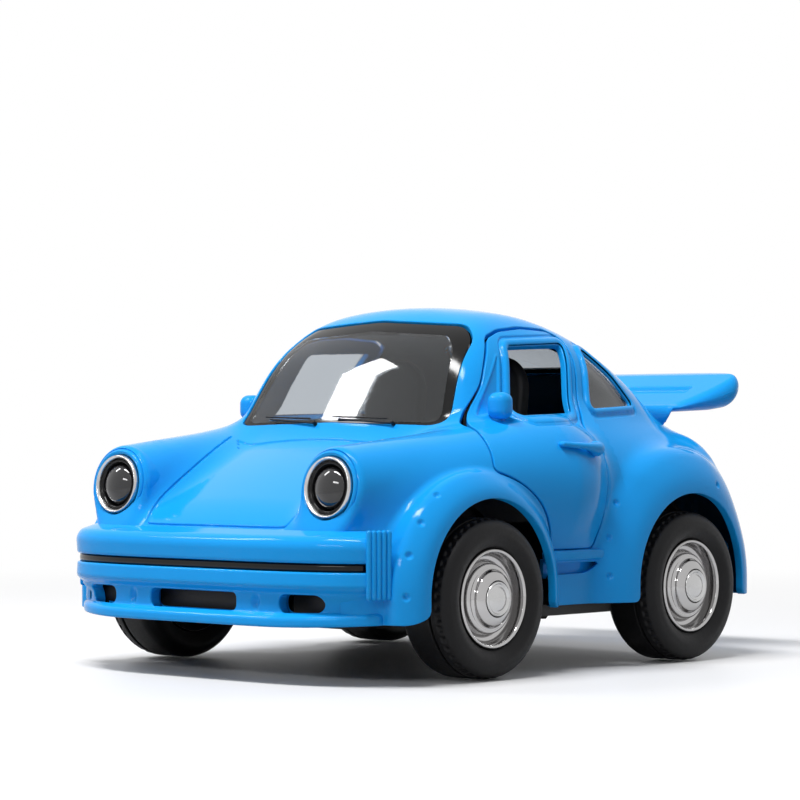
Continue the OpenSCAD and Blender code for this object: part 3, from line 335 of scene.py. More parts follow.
def edges_of(faces):
    """Every edge once, and the numbers of each face's three edges."""
    key, back = np.unique(side_keys(sides_of(faces)), return_inverse=True)
    return np.stack([key // KEY_STEP, key % KEY_STEP], 1), back.reshape(3, -1).T


def split(points, faces, pairs, per_face, mark, fresh):
    """Splits the marked edges at the fresh points and the faces to suit."""
    number = np.full(len(pairs), -1)
    number[mark] = len(points) + np.arange(mark.sum())
    a = number[per_face]
    n = (a >= 0).sum(1)
    out = [faces[n == 0]]
    for k in range(3):
        k1, k2 = (k + 1) % 3, (k + 2) % 3
        one = (n == 1) & (a[:, k] >= 0)
        i, j, w, m = faces[one, k], faces[one, k1], faces[one, k2], a[one, k]
        out += [np.stack([i, m, w], 1), np.stack([m, j, w], 1)]
        two = (n == 2) & (a[:, k] < 0)
        i, j, w, m, q = faces[two, k], faces[two, k1], faces[two, k2], a[two, k1], a[two, k2]
        out += [np.stack([i, j, m], 1), np.stack([i, m, q], 1), np.stack([q, m, w], 1)]
    f, a = faces[n == 3], a[n == 3]
    out += [np.stack([f[:, 0], a[:, 0], a[:, 2]], 1), np.stack([f[:, 1], a[:, 1], a[:, 0]], 1),
            np.stack([f[:, 2], a[:, 2], a[:, 1]], 1), a]
    return np.vstack([points, fresh]), np.concatenate(out).astype(int)


def half_sheet(d, step, turn, x_from=None, x_to=None):
    """The left half of the skin, or a length of it, found along rays from a line inside the body."""
    middle, rear, front, reach_step = 22.0, -32.0, 34.0, 0.8
    turns = np.radians(np.linspace(-90, 90, int(180 / turn) + 1))
    if x_from is None:
        fan = np.radians(np.arange(turn, 90, turn))
        straight = np.linspace(rear, front, int((front - rear) / step))
        stations = [(rear, -a) for a in fan[::-1]] + [(x, 0) for x in straight] + [(front, a) for a in fan]
    else:
        stations = [(x, 0) for x in np.linspace(x_from, x_to, int((x_to - x_from) / step))]
    s = np.array(stations)
    x, lean = s[:, 0][:, None], s[:, 1][:, None]
    o = np.stack([x + 0 * turns, 0 * (x + turns), middle + 0 * (x + turns)], 2).reshape(-1, 3)
    ray = np.stack([np.sin(lean) + 0 * turns, np.cos(lean) * np.cos(turns), np.cos(lean) * np.sin(turns)],
                   2).reshape(-1, 3)
    lo, hi = np.full(len(o), 1.0), np.full(len(o), 70.0)
    outside = np.zeros(len(o), bool)
    for reach in np.arange(2, 70, reach_step):
        left = ~outside & (form(d, o + reach * ray) >= 0)
        lo[left], hi[left] = reach - reach_step, reach
        outside |= left
    for _ in range(26):
        m = (lo + hi) / 2
        within = form(d, o + m[:, None] * ray) < 0
        lo, hi = np.where(within, m, lo), np.where(within, hi, m)
    points = o + ((lo + hi) / 2)[:, None] * ray
    points[np.abs(points[:, 1]) < 1e-6, 1] = 0
    n, k = len(turns), len(stations)
    i, j = np.meshgrid(np.arange(k - 1), np.arange(n - 1), indexing="ij")
    a = (i * n + j).ravel()
    faces = np.concatenate([np.stack([a, a + 1, a + n + 1], 1), np.stack([a, a + n + 1, a + n], 1)])
    if x_from is None:
        poles = onto(skin(d), np.array([[-d.tail_reach, 0, middle], [d.nose_x, 0, middle]]))
        poles[:, 1] = 0
        j = np.arange(n - 1)
        last = (k - 1) * n
        faces = np.concatenate([faces, np.stack([0 * j + len(points), j + 1, j], 1),
                                np.stack([0 * j + len(points) + 1, last + j, last + j + 1], 1)])
        points = np.vstack([points, poles])
    return points, faces


def refine(d, points, faces, target, rounds=16):
    """Halves each edge that is longer than the target there."""
    for _ in range(rounds):
        pairs, per_face = edges_of(faces)
        a, b = points[pairs[:, 0]], points[pairs[:, 1]]
        mid = (a + b) / 2
        mark = np.linalg.norm(a - b, axis=1) > 1.4 * target(mid)
        if not mark.any():
            break
        fresh = onto(skin(d), mid[mark])
        fresh[(a[mark, 1] == 0) & (b[mark, 1] == 0), 1] = 0
        points, faces = split(points, faces, pairs, per_face, mark, fresh)
        points = unfold(d, points, faces)
    return points, faces


def unfold(d, points, faces):
    """Moves the corners of faces that are folded over to the middle of their neighbours."""
    for _ in range(4):
        a, b, c = (points[faces[:, k]] for k in range(3))
        fn = unit(np.cross(b - a, c - a))
        lean = (fn * unit(slope(skin(d), (a + b + c) / 3))).sum(1)
        bad = lean * np.sign(lean.sum()) < 0.25
        if not bad.any():
            break
        loose = np.unique(faces[bad])
        around = faces[np.isin(faces, loose).any(1)]
        pairs = edges_of(around)[0]
        total, count = np.zeros_like(points), np.zeros(len(points))
        for i, j in ((0, 1), (1, 0)):
            np.add.at(total, pairs[:, i], points[pairs[:, j]])
            np.add.at(count, pairs[:, i], 1)
        fresh = onto(skin(d), total[loose] / count[loose, None])
        fresh[points[loose, 1] == 0, 1] = 0
        points[loose] = fresh
    return points


def crossed(faces, value):
    """The edges, each face's edges, the values at both ends of an edge, and where their signs differ."""
    pairs, per_face = edges_of(faces)
    va, vb = value[pairs[:, 0]], value[pairs[:, 1]]
    return pairs, per_face, va, vb, va * vb < 0


def signed(g, points):
    """The values of g, none of them nought."""
    value = g(points)
    value[np.abs(value) < 1e-7] = 1e-7
    return value


def opened(points, faces, value, pairs, per_face, mark, fresh, *more):
    """Splits the marked edges at the fresh points and leaves out the faces of a value below nought."""
    points, faces = split(points, faces, pairs, per_face, mark, fresh)
    value = np.concatenate([value, np.zeros(mark.sum())])
    return compact(points, faces[value[faces].sum(1) > 0], *more)


def cut(d, points, faces, g):
    """Removes the part of a sheet where g is below nought, along a clean line."""
    value = signed(g, points)
    pairs, per_face, va, vb, mark = crossed(faces, value)
    a, b = points[pairs[mark, 0]], points[pairs[mark, 1]]
    fresh = a + (va[mark] / (va[mark] - vb[mark]))[:, None] * (b - a)
    seam = (a[:, 1] == 0) & (b[:, 1] == 0)
    for _ in range(4):
        fresh = onto(skin(d), fresh, 1)
        s = slope(g, fresh)
        n = unit(slope(skin(d), fresh))
        s -= (s * n).sum(1)[:, None] * n
        fresh -= np.clip(g(fresh)[:, None] * s / np.maximum((s * s).sum(1), 0.1)[:, None], -0.4, 0.4)
        fresh[seam, 1] = 0
    return opened(points, faces, value, pairs, per_face, mark, fresh)


def compact(points, faces, *more):
    """Leaves out the points that no face uses."""
    used, back = np.unique(faces, return_inverse=True)
    return [points[used], back.reshape(-1, 3)] + [m[used] for m in more]


def rim_of(points, faces, normals, g, r, depth, steps=3, join=True):
    """A rounded edge and a wall along the boundary where g is nought; g falls towards the opening."""
    e = sides_of(faces)
    _, first, count = np.unique(side_keys(e), return_index=True, return_counts=True)
    e = e[first[count == 1]]
    on = np.abs(g(points)) < 2e-3
    e = e[on[e[:, 0]] & on[e[:, 1]]]
    if not len(e):
        return np.zeros((0, 3)), np.zeros((0, 3), int), np.zeros((0, 3))
    used, back = np.unique(e, return_inverse=True)
    e = back.reshape(-1, 2)
    p, n = points[used], normals[used]
    t = -slope(g, p)
    t = unit(t - (t * n).sum(1)[:, None] * n)
    rows = [(p, n)]
    for k in range(1, steps + 1):
        a = math.pi / 2 * k / steps
        c, s = math.cos(a), math.sin(a)
        rows.append((p + t * r * s - n * r * (1 - c), unit(n * c + t * s)))
    rows.append((p + t * r - n * depth, t))
    links = [(k, k + 1) for k in range(len(rows) - 1)]
    if join:
        rows += [(p + t * r - n * depth, -n), (p - n * depth, -n)]
        links.append((len(rows) - 2, len(rows) - 1))
    m = len(used)
    out = []
    for a, b in links:
        i, j = e[:, 0], e[:, 1]
        out += [np.stack([j + a * m, i + a * m, i + b * m], 1),
                np.stack([j + a * m, i + b * m, j + b * m], 1)]
    return np.vstack([q for q, _ in rows]), np.concatenate(out), np.vstack([q for _, q in rows])


def gather(parts):
    """Joins (points, faces, normals) parts into one."""
    points, faces, normals, start = [], [], [], 0
    for p, f, n in parts:
        points.append(p)
        faces.append(np.asarray(f, int).reshape(-1, 3) + start)
        normals.append(n)
        start += len(p)
    return np.vstack(points), np.concatenate(faces), np.vstack(normals)


def mirrored(part, signs=(1, -1, 1)):
    """The part on the other side of the car, or of another plane."""
    p, f, n = part
    return p * np.array(signs), f[:, ::-1], n * np.array(signs)


def both_sides(part):
    return gather([part, mirrored(part)])


def skin_normals(d, points):
    """The form's normals, those on the middle plane lying in it."""
    n = unit(slope(skin(d), points))
    n[points[:, 1] == 0, 1] = 0
    return unit(n)


def raised(points, normals, height):
    """Moves points out by height and tilts the normals to suit."""
    h = height(points)
    g = slope(height, points, 0.03)
    g -= (g * normals).sum(1)[:, None] * normals
    return points + normals * h[:, None], unit(normals - g)


def skin_object(name, part, finish, nodes=(), body="car"):
    """A piece from points in millimetres, faces and normals."""
    p, f, n = part
    mesh = bpy.data.meshes.new(name)
    mesh.from_pydata((p * MM).tolist(), [], f.tolist())
    mesh.polygons.foreach_set("use_smooth", [True] * len(mesh.polygons))
    mesh.normals_split_custom_set_from_vertices(n.tolist())
    mesh.update()
    settle(name, mesh, finish, nodes, body)


SLOTS = {"Thin enamel": "blue_enamel", "Enamel": "blue_enamel", "Matt black plastic": "black_plastic",
         "Gloss black plastic": "black_plastic", "Tyre rubber": "tyre_rubber", "Chrome plate": "chrome_plate",
         "Satin chrome": "chrome_plate", "Clear styrene": "clear_plastic", "Smoked lens": "clear_plastic",
         "Red styrene": "red_plastic"}


def settle(name, mesh, finish, nodes, body, slot=None):
    """Gives a piece its finish and its body, and hides the nodes that it stands for; its slot is looked up
    but not kept.
    """
    ob = bpy.data.objects.new(name.replace(" ", "_"), mesh)
    bpy.context.scene.collection.objects.link(ob)
    mesh.materials.clear()
    mesh.materials.append(finishes()[finish])
    slot = slot or SLOTS[finish]
    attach(ob, body)
    if nodes:
        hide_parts(*nodes)


# ---- finishes: node materials ----

def node(tree, kind, inputs=(), **settings):
    """Adds a node; an input's value is set, or linked where it is another node's socket."""
    made = tree.nodes.new("ShaderNode" + kind)
    for key, value in settings.items():
        setattr(made, key, value)
    for key, value in dict(inputs).items():
        if isinstance(value, bpy.types.NodeSocket):
            tree.links.new(value, made.inputs[key])
        else:
            made.inputs[key].default_value = value
    return made


def shader(name, colour, rough, metal=0.0, patch=16.7, shade=0.12, pebble=0.5, spread=0.06, relief=0.02,
           coat=0.0, ior=1.5, shine=0.5, clear=0.0, stretch=(1, 1, 1)):
    """A finish whose colour changes by shade over patches, and whose roughness changes by spread, and its
    surface by relief, over pebbles. Patch, pebble and relief are in millimetres."""
    mat = bpy.data.materials.new(name)
    mat.use_nodes = True
    tree = mat.node_tree
    tree.nodes.clear()
    place = node(tree, "TexCoord").outputs["Object"]
    place = node(tree, "Mapping", {"Vector": place, "Scale": stretch}).outputs["Vector"]
    broad = node(tree, "TexNoise", {"Vector": place, "Scale": 1000 / patch}).outputs["Fac"]
    close = node(tree, "TexNoise", {"Vector": place, "Scale": 1000 / pebble, "Detail": 3}).outputs["Fac"]
    ramp = node(tree, "ValToRGB", {"Fac": broad})
    for stop, position, part in zip(ramp.color_ramp.elements, (0.3, 0.7), (1 - shade, 1 + shade)):
        stop.position = position
        stop.color = (*[min(1, c * part) for c in colour], 1)
    low = max(0.0, rough - spread)
    area = node(tree, "MapRange", {"Value": close, "To Min": low, "To Max": rough + spread})
    bump = node(tree, "Bump", {"Height": close, "Strength": 0.6, "Distance": relief * MM})
    look = {"Base Color": ramp.outputs["Color"], "Roughness": area.outputs["Result"],
            "Normal": bump.outputs["Normal"], "Metallic": metal}
    if not metal:
        look.update({"IOR": ior, "Specular IOR Level": shine})
    if coat:
        look.update({"Coat Weight": coat, "Coat Roughness": 0.03})
    if clear:
        look["Transmission Weight"] = clear
    bsdf = node(tree, "BsdfPrincipled", look)
    node(tree, "OutputMaterial", {"Surface": bsdf.outputs["BSDF"]})
    return mat


def finishes():
    """The materials, made once. A grain too fine to show is drawn with pebbles as coarse as it needs."""
    c = bpy.context.scene.car_colours
    if "Enamel" not in bpy.data.materials:
        # the enamel darkened to a tenth for the casting's inner side, as painted shade: dark and dull, so
        # that gaps read as shade
        shader("Thin enamel", [v * 0.1 for v in c.enamel], 0.5, shade=0.1, spread=0.1, relief=0.01, shine=0.2)
        # stoved gloss enamel on zinc: smooth, with long soft highlights
        shader("Enamel", c.enamel, 0.09, patch=33.3, shade=0.03, pebble=3.33, spread=0.015, relief=0.001,
               ior=1.45, shine=0.12)
        # moulded ABS from an etched tool: a fine dull grain
        shader("Matt black plastic", c.black, 0.5, patch=11.1, shade=0.25, spread=0.1, relief=0.01, shine=0.3)
        # polished black ABS and screen-printed borders: a dark mirror
        shader("Gloss black plastic", [v * 0.5 for v in c.black], 0.12, shade=0.2, spread=0.04, relief=0.001,
               shine=0.25)
        # moulded rubber: near black, dull, with dusty patches
        shader("Tyre rubber", c.rubber, 0.5, patch=5, shade=0.3, spread=0.12, shine=0.2)
        # vacuum-plated ABS: a bright mirror that waves slightly
        shader("Chrome plate", linear("#AEADAD"), 0.09, 1.0, patch=12.5, shade=0.06, pebble=3.33, spread=0.02,
               relief=0.0003)
        # the same plate over a blasted tool: softer reflections
        shader("Satin chrome", linear("#BCBCBC"), 0.24, 1.0, patch=8.3, shade=0.08, pebble=3.33, spread=0.03,
               relief=0.0003)
        # drawn steel wire: grey, with scratches along the car's width
        shader("Steel wire", linear("#BCBCBD"), 0.3, 1.0, patch=6.7, shade=0.15, spread=0.1, relief=0.01,
               stretch=(1, 0.1, 1))
        # clear moulded polystyrene: a faintly smoky pane
        shader("Clear styrene", linear("#AEB5BC"), 0.03, shade=0.02, spread=0.02, relief=0.002, ior=1.49,
               clear=1.0)
        # dark tinted lens over the plated bowl: a black drop with one sharp highlight
        shader("Smoked lens", linear("#1D1D1F"), 0.04, shade=0.1, spread=0.02, relief=0.001, coat=0.3)
        # red tinted polystyrene: deep red under a clear gloss
        shader("Red styrene", c.lamp_red, 0.12, patch=11.1, shade=0.15, spread=0.05, relief=0.004, coat=0.5)
        # moulded gear nylon: milky and waxy
        shader("Nylon", c.nylon, 0.42, patch=6.7, shade=0.05, spread=0.08, relief=0.01)
    return {m.name: m for m in bpy.data.materials}


# ---- small pieces by bmesh ----

def plain_object(name, bm, finish, nodes=(), body="car", angle=35, slot=None):
    """A piece from a bmesh in millimetres, smooth up to an angle."""
    bmesh.ops.scale(bm, vec=(MM, MM, MM), verts=bm.verts)
    bmesh.ops.recalc_face_normals(bm, faces=bm.faces)
    mesh = bpy.data.meshes.new(name)
    bm.to_mesh(mesh)
    bm.free()
    mesh.shade_smooth()
    mesh.set_sharp_from_angle(angle=math.radians(angle))
    settle(name, mesh, finish, nodes, body, slot)


def turned(profile, matrix, steps=96):
    """Spins a closed profile of (radius, height) round its axis and puts it in place."""
    bm = bmesh.new()
    verts = [bm.verts.new((r, 0, h)) for r, h in profile]
    edges = [bm.edges.new(pair) for pair in zip(verts, verts[1:] + verts[:1])]
    bmesh.ops.spin(bm, geom=verts + edges, cent=(0, 0, 0), axis=(0, 0, 1), dvec=(0, 0, 0), steps=steps,
                   angle=2 * math.pi, use_merge=True)
    bmesh.ops.remove_doubles(bm, verts=bm.verts[:], dist=1e-4)
    bmesh.ops.transform(bm, matrix=matrix, verts=bm.verts)
    return bm


def fillet(points, r, n=4):
    """A closed profile with its corners rounded by r, or by the third number of a point."""
    out = []
    for i, p in enumerate(points):
        q = np.array(p[:2], float)
        a, b = np.array(points[i - 1][:2]) - q, np.array(points[(i + 1) % len(points)][:2]) - q
        la, lb = np.linalg.norm(a), np.linalg.norm(b)
        round_r = min(p[2] if len(p) > 2 else r, la * 0.48, lb * 0.48)
        if round_r < 0.01:
            out.append(tuple(q))
            continue
        s, e = q + a / la * round_r, q + b / lb * round_r
        for t in np.linspace(0, 1, n + 1):
            out.append(tuple((1 - t) ** 2 * s + 2 * t * (1 - t) * q + t * t * e))
    return out


def even(points, step):
    """A closed outline with points that are evenly spaced."""
    loop = np.vstack([points, points[:1]]).astype(float)
    run = np.concatenate([[0], np.cumsum(np.linalg.norm(np.diff(loop, axis=0), axis=1))])
    t = np.linspace(0, run[-1], int(round(run[-1] / step)) + 1)[:-1]
    return np.stack([np.interp(t, run, loop[:, 0]), np.interp(t, run, loop[:, 1])], 1)


def turned_out(points):
    """The outward normals of a closed outline."""
    e = np.roll(points, -1, 0) - np.roll(points, 1, 0)
    n = np.stack([e[:, 1], -e[:, 0]], 1) / np.linalg.norm(e, axis=1)[:, None]
    return n if ((points - points.mean(0)) * n).sum() > 0 else -n


def finished(bm, verts, soft, steps, edges, matrix):
    """Softens the edges of a new shape and puts it in place."""
    if soft:
        got = bmesh.ops.bevel(bm, geom=edges, offset=soft, segments=steps, affect="EDGES", profile=0.5,
                              material=-1)
        verts = list({v for f in got["faces"] for v in f.verts} | {v for v in verts if v.is_valid})
    if matrix is not None:
        bmesh.ops.transform(bm, matrix=matrix, verts=verts)
    return verts


def box_into(bm, lo, hi, soft, steps=2):
    """A box between two corners, with soft edges."""
    lo, hi = Vector(lo), Vector(hi)
    verts = bmesh.ops.create_cube(bm, size=1)["verts"]
    bmesh.ops.scale(bm, vec=hi - lo, verts=verts)
    bmesh.ops.translate(bm, vec=(lo + hi) / 2, verts=verts)
    return finished(bm, verts, soft, steps, list({e for v in verts for e in v.link_edges}), None)


def outline_into(bm, outline, low, high, soft=0.0, steps=3, matrix=None):
    """A prism of an outline in x and y, from low to high, with softened edges."""
    base = [bm.verts.new((p[0], p[1], low)) for p in outline]
    got = bmesh.ops.extrude_face_region(bm, geom=[bm.faces.new(base)])
    top = [v for v in got["geom"] if isinstance(v, bmesh.types.BMVert)]
    bmesh.ops.translate(bm, vec=(0, 0, high - low), verts=top)
    verts = base + top
    own = set(verts)
    level = [e for e in bm.edges if own.issuperset(e.verts) and abs(e.verts[0].co.z - e.verts[1].co.z) < 1e-6]
    return finished(bm, verts, soft, steps, level, matrix)


def tube_into(bm, a, b, ra, rb, segments=20):
    """A rod with round ends from a to b, of radius ra at a and rb at b."""
    a, b = Vector(a), Vector(b)
    axis = b - a
    start = [(ra * math.cos(t), -ra * math.sin(t)) for t in np.linspace(math.pi / 2, 0, 6)]
    end = [(rb * math.cos(t), axis.length + rb * math.sin(t)) for t in np.linspace(0, math.pi / 2, 6)]
    turns = [k * 2 * math.pi / segments for k in range(segments)]
    rings = [[bm.verts.new((r * math.cos(t), r * math.sin(t), z)) for t in turns] if r > 1e-6
             else [bm.verts.new((0, 0, z))] for r, z in start + end]
    for p, q in zip(rings, rings[1:]):
        for k in range(segments):
            k2 = (k + 1) % segments
            if len(p) == 1:
                bm.faces.new((p[0], q[k], q[k2]))
            elif len(q) == 1:
                bm.faces.new((p[k], p[k2], q[0]))
            else:
                bm.faces.new((p[k], p[k2], q[k2], q[k]))
    turn = axis.to_track_quat("Z", "Y").to_matrix().to_4x4()
    bmesh.ops.transform(bm, matrix=Matrix.Translation(a) @ turn, verts=[v for ring in rings for v in ring])


def ball_into(bm, centre, radii):
    made = bmesh.ops.create_uvsphere(bm, u_segments=40, v_segments=24, radius=1)
    bmesh.ops.scale(bm, vec=radii, verts=made["verts"])
    bmesh.ops.translate(bm, vec=centre, verts=made["verts"])


# ---- the body's skin with its raised and sunk details ----

def groove(s, half, deep):
    """A round-edged groove of half a width, by distance from its line."""
    return -deep * (1 - ease(np.abs(s) / half))


def bead(s, start, end, high):
    """A rounded ridge between two distances from a line."""
    u = np.clip((s - (start + end) / 2) / ((end - start) / 2), -1, 1)
    return high * (1 - u * u) ** 0.6


def pit(s, deep, edge):
    """A flat recess inside a line, with an edge that slopes over a width."""
    return -deep * (1 - ease((s + edge[0]) / edge[1]))


def spots(d):
    """The dimples' places on the skin."""
    return onto(skin(d), np.array(DIMPLES, float))


def nearest(points, p):
    """Distance to the nearest of a few points."""
    return np.min(np.linalg.norm(p[:, None, :] - points[None], axis=2), axis=1)


def hood_groove(d):
    """Points of the hood's outline on the left, on the skin."""
    pts = [(47.95, 0, 22.6), (47.9, 8, 22.6), (47.7, 14.0, 22.75), (47.55, 15.2, 22.9), (46.0, 15.4, 25.1),
           (42.8, 15.4, 27.5), (38.1, 16.0, 30.0), (31.9, 17.4, 33.0), (24.2, 19.9, 36.0)]
    fine = []
    for a, b in zip(pts[:-1], pts[1:]):
        for t in np.linspace(0, 1, 5)[:-1]:
            fine.append([a[k] + (b[k] - a[k]) * t for k in range(3)])
    fine = onto(skin(d), np.array(fine + [pts[-1]], float))
    for _ in range(3):
        fine[1:-1] = (fine[:-2] + 2 * fine[1:-1] + fine[2:]) / 4
    return fine


COWL = (24.1, 26.4)
VENT = [(7.6, 48.8), (16.0, 39.1), (10.9, 39.9)]
DIMPLES = [(35.4, 34.3, 27.6), (39.3, 34.7, 23.6), (41.9, 34.7, 18.9), (42.8, 35.0, 12.9), (-7.6, 34.0, 25.6),
           (-5.4, 34.2, 20.2), (-4.6, 35.2, 14.2), (-31.6, 36.3, 28.2), (-39.6, 34.6, 22.0)]


def skin_height(d, door):
    """How far the finished skin stands out of the plain form."""
    window, quarter, hood, dots = side_window_line(d), quarter_window_line(d), hood_groove(d), spots(d)
    vent = rounded(VENT, 0.8)
    back, front = COWL
    cowl_line = rounded([(back, -18.6), (front, -16.2), (front, 16.2), (back, 18.6)], 0.5)

    def height(p):
        q = p * np.array([1, 1, 1])
        q[:, 1] = np.abs(q[:, 1])
        h = np.zeros(len(q))
        flank = (q[:, 1] > 14) & (q[:, 2] > 33) & (q[:, 0] > -30) & (q[:, 0] < 21)
        x, z = q[flank, 0], q[flank, 2]
        ahead = q[:, 0] > 21
        if door:
            s = inside_distance(window, x, z)
            v = inside_distance(vent, x, z)
            h[flank] += bead(s, 0.05, 1.25, 0.42) + groove(s - 1.55, 0.3, 0.2)
            h[flank] += pit(v, 0.22, (0.3, 0.35)) - groove(v - 0.2, 0.35, 0.1)
        else:
            s = inside_distance(quarter, x, z)
            h[flank] += bead(s, 0.05, 1.1, 0.4) + groove(s - 1.45, 0.36, 0.2)
            e = q[ahead]
            cowl = inside_distance(cowl_line, e[:, 0], e[:, 1])
            h[ahead] += groove(line_distance(hood, e), 0.3, 0.3)
            h[ahead] += pit(cowl, 0.3, (0.25, 0.3)) * (e[:, 2] > 31)
        low = q[:, 2] < 32.5
        h[low] += groove(nearest(dots, q[low]), 0.75, 0.42)
        return h
    return height


def wanted_edges(d, door):
    """How long an edge of the skin's triangles may be, from place to place."""
    window, quarter, gap = side_window_line(d), quarter_window_line(d), door_line(d)
    glass, back, lamp, vent = screen_line(d), rear_line(d), tail_lamp_line(), rounded(VENT, 0.8)
    hood, dots = hood_groove(d), spots(d)

    def target(p):
        x, y, z = p[:, 0], np.abs(p[:, 1]), p[:, 2]
        t = np.full(len(p), 1.5)

        def near(where, distance, within, size):
            far = np.where(where, np.abs(distance), 9)
            np.minimum(t, size + 0.7 * np.maximum(far - within, 0), out=t)
        for c, w in ((d.front_x + 0.8, d.front_flare_w), (d.rear_x, d.rear_flare_w)):
            rho = np.hypot(x - c, np.maximum(z - d.arch_z, 0)) - d.arch_r
            near(y > 28, rho - w, 0.9, 0.5)
            near(y > 28, rho - w / 2, w / 2 + 1, 0.9)
            near(y > 28, rho, 0.5, 0.5)
        flank = y > 14
        near(flank, inside_distance(gap, x, z), 0.4, 0.45)
        if door:
            near(flank, inside_distance(window, x, z) - 0.9, 0.95, 0.15)
            near(flank & (z > 37), inside_distance(vent, x, z) + 0.05, 0.35, 0.18)
        else:
            near(flank, inside_distance(quarter, x, z) - 0.9, 0.95, 0.19)
            for where, line, size in ((x > 3, glass, 0.4), (x < -8, back, 0.45), (x < -30, lamp, 0.45)):
                near(where, inside_distance(line, p[:, 1], z), 0.4, size)
            ahead = x > 21
            near(ahead, line_distance(hood, np.stack([x, y, z], 1)), 0.3, 0.17)
            for edge in COWL:
                near(ahead & (z > 31) & (y < 20), x - edge, 0.3, 0.3)
            near(x > 40, np.hypot(y - d.lamp_y, z - d.lamp_h) - d.pod_r, 1.2, 0.55)
        near(True, nearest(dots, np.stack([x, y, z], 1)), 0.75, 0.22)
        return t
    return target


def layered(d, points, faces, openings, height, wall):
    """The outer skin, its inner side and its rounded openings."""
    points, faces = compact(points, faces)
    normals = skin_normals(d, points)
    outer, bent = raised(points, normals, height)
    parts = [(outer, faces, bent), (points - normals * wall, faces[:, ::-1], -normals)]
    return parts + [rim_of(points, faces, normals, g, r, deep) for g, r, deep in openings]


def flank_hole(outline, out):
    """Below nought inside an outline on the car's flank that is grown by out."""
    return lambda p: np.where(p[:, 1] > 14, inside_distance(outline, p[:, 0], p[:, 2]) - out, 9.0)


def end_hole(outline, sign, limit, out):
    """The same on the car's front, or on its rear where the sign is negative, past a limit."""
    return lambda p: np.where(sign * p[:, 0] > limit, inside_distance(outline, p[:, 1], p[:, 2]) - out, 9.0)


def inside_of(hole):
    """A function that is below nought outside a hole."""
    return lambda p: -hole(p)


def openings_of(d):
    """The openings: each a function, below nought inside it, its edge's radius and its wall's depth."""
    slot = rounded([(7.6, 14.8), (7.6, 16.5), (-3.6, 16.5), (-2.2, 15.2), (-0.6, 14.8)], 0.6)
    r = d.edge_r

    def below(p):
        a = smin(arch(d, p, d.front_x), arch(d, p, d.rear_x), 0.5)
        skirt = p[:, 2] - d.skirt_h + 1.2 * ease((p[:, 0] - 38) / 5)
        return smin(np.where(p[:, 1] > 20, a, 9.0), skirt, 1.0) - r

    def pod(p):
        x = p[:, 0]
        rho = np.hypot(p[:, 1] - d.lamp_y, p[:, 2] - d.lamp_h)
        return np.where(x > 38, rho - (d.pod_r - 0.5 - 0.9 * ease((x - 46.3) / 0.5)), 9.0)
    return {"below": (below, r, d.wall),
            "door": (flank_hole(door_line(d), d.door_gap + r - 0.08), r, d.wall),
            "quarter window": (flank_hole(quarter_window_line(d), r), r, 0.9),
            "slot": (flank_hole(slot, r * 0.7), r * 0.7, 1.0),
            "windscreen": (end_hole(screen_line(d), 1, 3, r), r, 0.9),
            "rear window": (end_hole(rear_line(d), -1, 8, r), r, 0.9),
            "tail lamp": (end_hole(tail_lamp_line(), -1, 30, 0.15), 0.15, 1.0),
            "lamp pod": (pod, 0.05, 0.4)}


def body_skin(d, coarse=False):
    """The casting's outer skin and the rims of its openings, or its coarse inner side."""
    points, faces = half_sheet(d, 1.5, 2.6)
    openings = openings_of(d)
    points, faces = compact(points, faces[openings["below"][0](points)[faces].max(1) > -1.5])
    wanted = wanted_edges(d, False)
    points, faces = refine(d, points, faces, (lambda p: np.maximum(wanted(p), 0.7)) if coarse else wanted)

    def behind_bumper(p):
        return np.maximum(np.maximum(44.5 - p[:, 0], p[:, 2] - 20.5), p[:, 1] - 27)
    holes = [g for name, (g, _, _) in openings.items() if not (coarse and name == "tail lamp")]
    for g in holes + [behind_bumper]:
        points, faces = cut(d, points, faces, g)
    if coarse:
        n = unit(slope(skin(d), points))
        return both_sides((points - n * d.wall, faces[:, ::-1], -n))
    outer, _, *rims = layered(d, points, faces, openings.values(), skin_height(d, False), d.wall)
    return gather([both_sides(part) for part in [outer] + rims])


END_DEPTH, END_POWER = 15.0, 3.4


def end_half_width(d):
    return (d.body_w + 0.6) / 2


def plan_points(d, turn, reach, depth):
    """Points of a bumper in plan, on a superellipse that bends back to the sides, moved out by depth."""
    a, b, k = END_DEPTH, end_half_width(d), END_POWER
    c, s = np.cos(turn), np.sin(turn)
    px, py = a * np.abs(c) ** (2 / k), b * np.sign(s) * np.abs(s) ** (2 / k)
    gx, gy = (px / a) ** (k - 1) / a, np.sign(s) * (np.abs(py) / b) ** (k - 1) / b
    n = np.hypot(gx, gy)
    return reach - a + px + depth * gx / n, py + depth * gy / n


def plan_turns(d, limit, count):
    """Turns that are evenly spaced along the bumper."""
    v = np.linspace(-1, 1, 4001)
    t = np.sign(v) * np.abs(v) ** 1.7 * math.radians(limit)
    x, y = plan_points(d, t, 0, 0)
    run = np.concatenate([[0], np.cumsum(np.hypot(np.diff(x), np.diff(y)))])
    return np.interp(np.linspace(0, run[-1], count), run, t)


def smooth_normals(points, faces):
    a, b, c = (points[faces[:, k]] for k in range(3))
    fn = np.cross(b - a, c - a)
    normals = np.zeros_like(points)
    for k in range(3):
        np.add.at(normals, faces[:, k], fn)
    return unit(normals)


def grid_part(points):
    """A grid that is closed across its second direction, as points and faces."""
    k, n = points.shape[:2]
    i, j = np.meshgrid(np.arange(k - 1), np.arange(n), indexing="ij")
    a, b = (i * n + j).ravel(), (i * n + (j + 1) % n).ravel()
    return points.reshape(-1, 3), np.concatenate([np.stack([a, b, b + n], 1), np.stack([a, b + n, a + n], 1)])


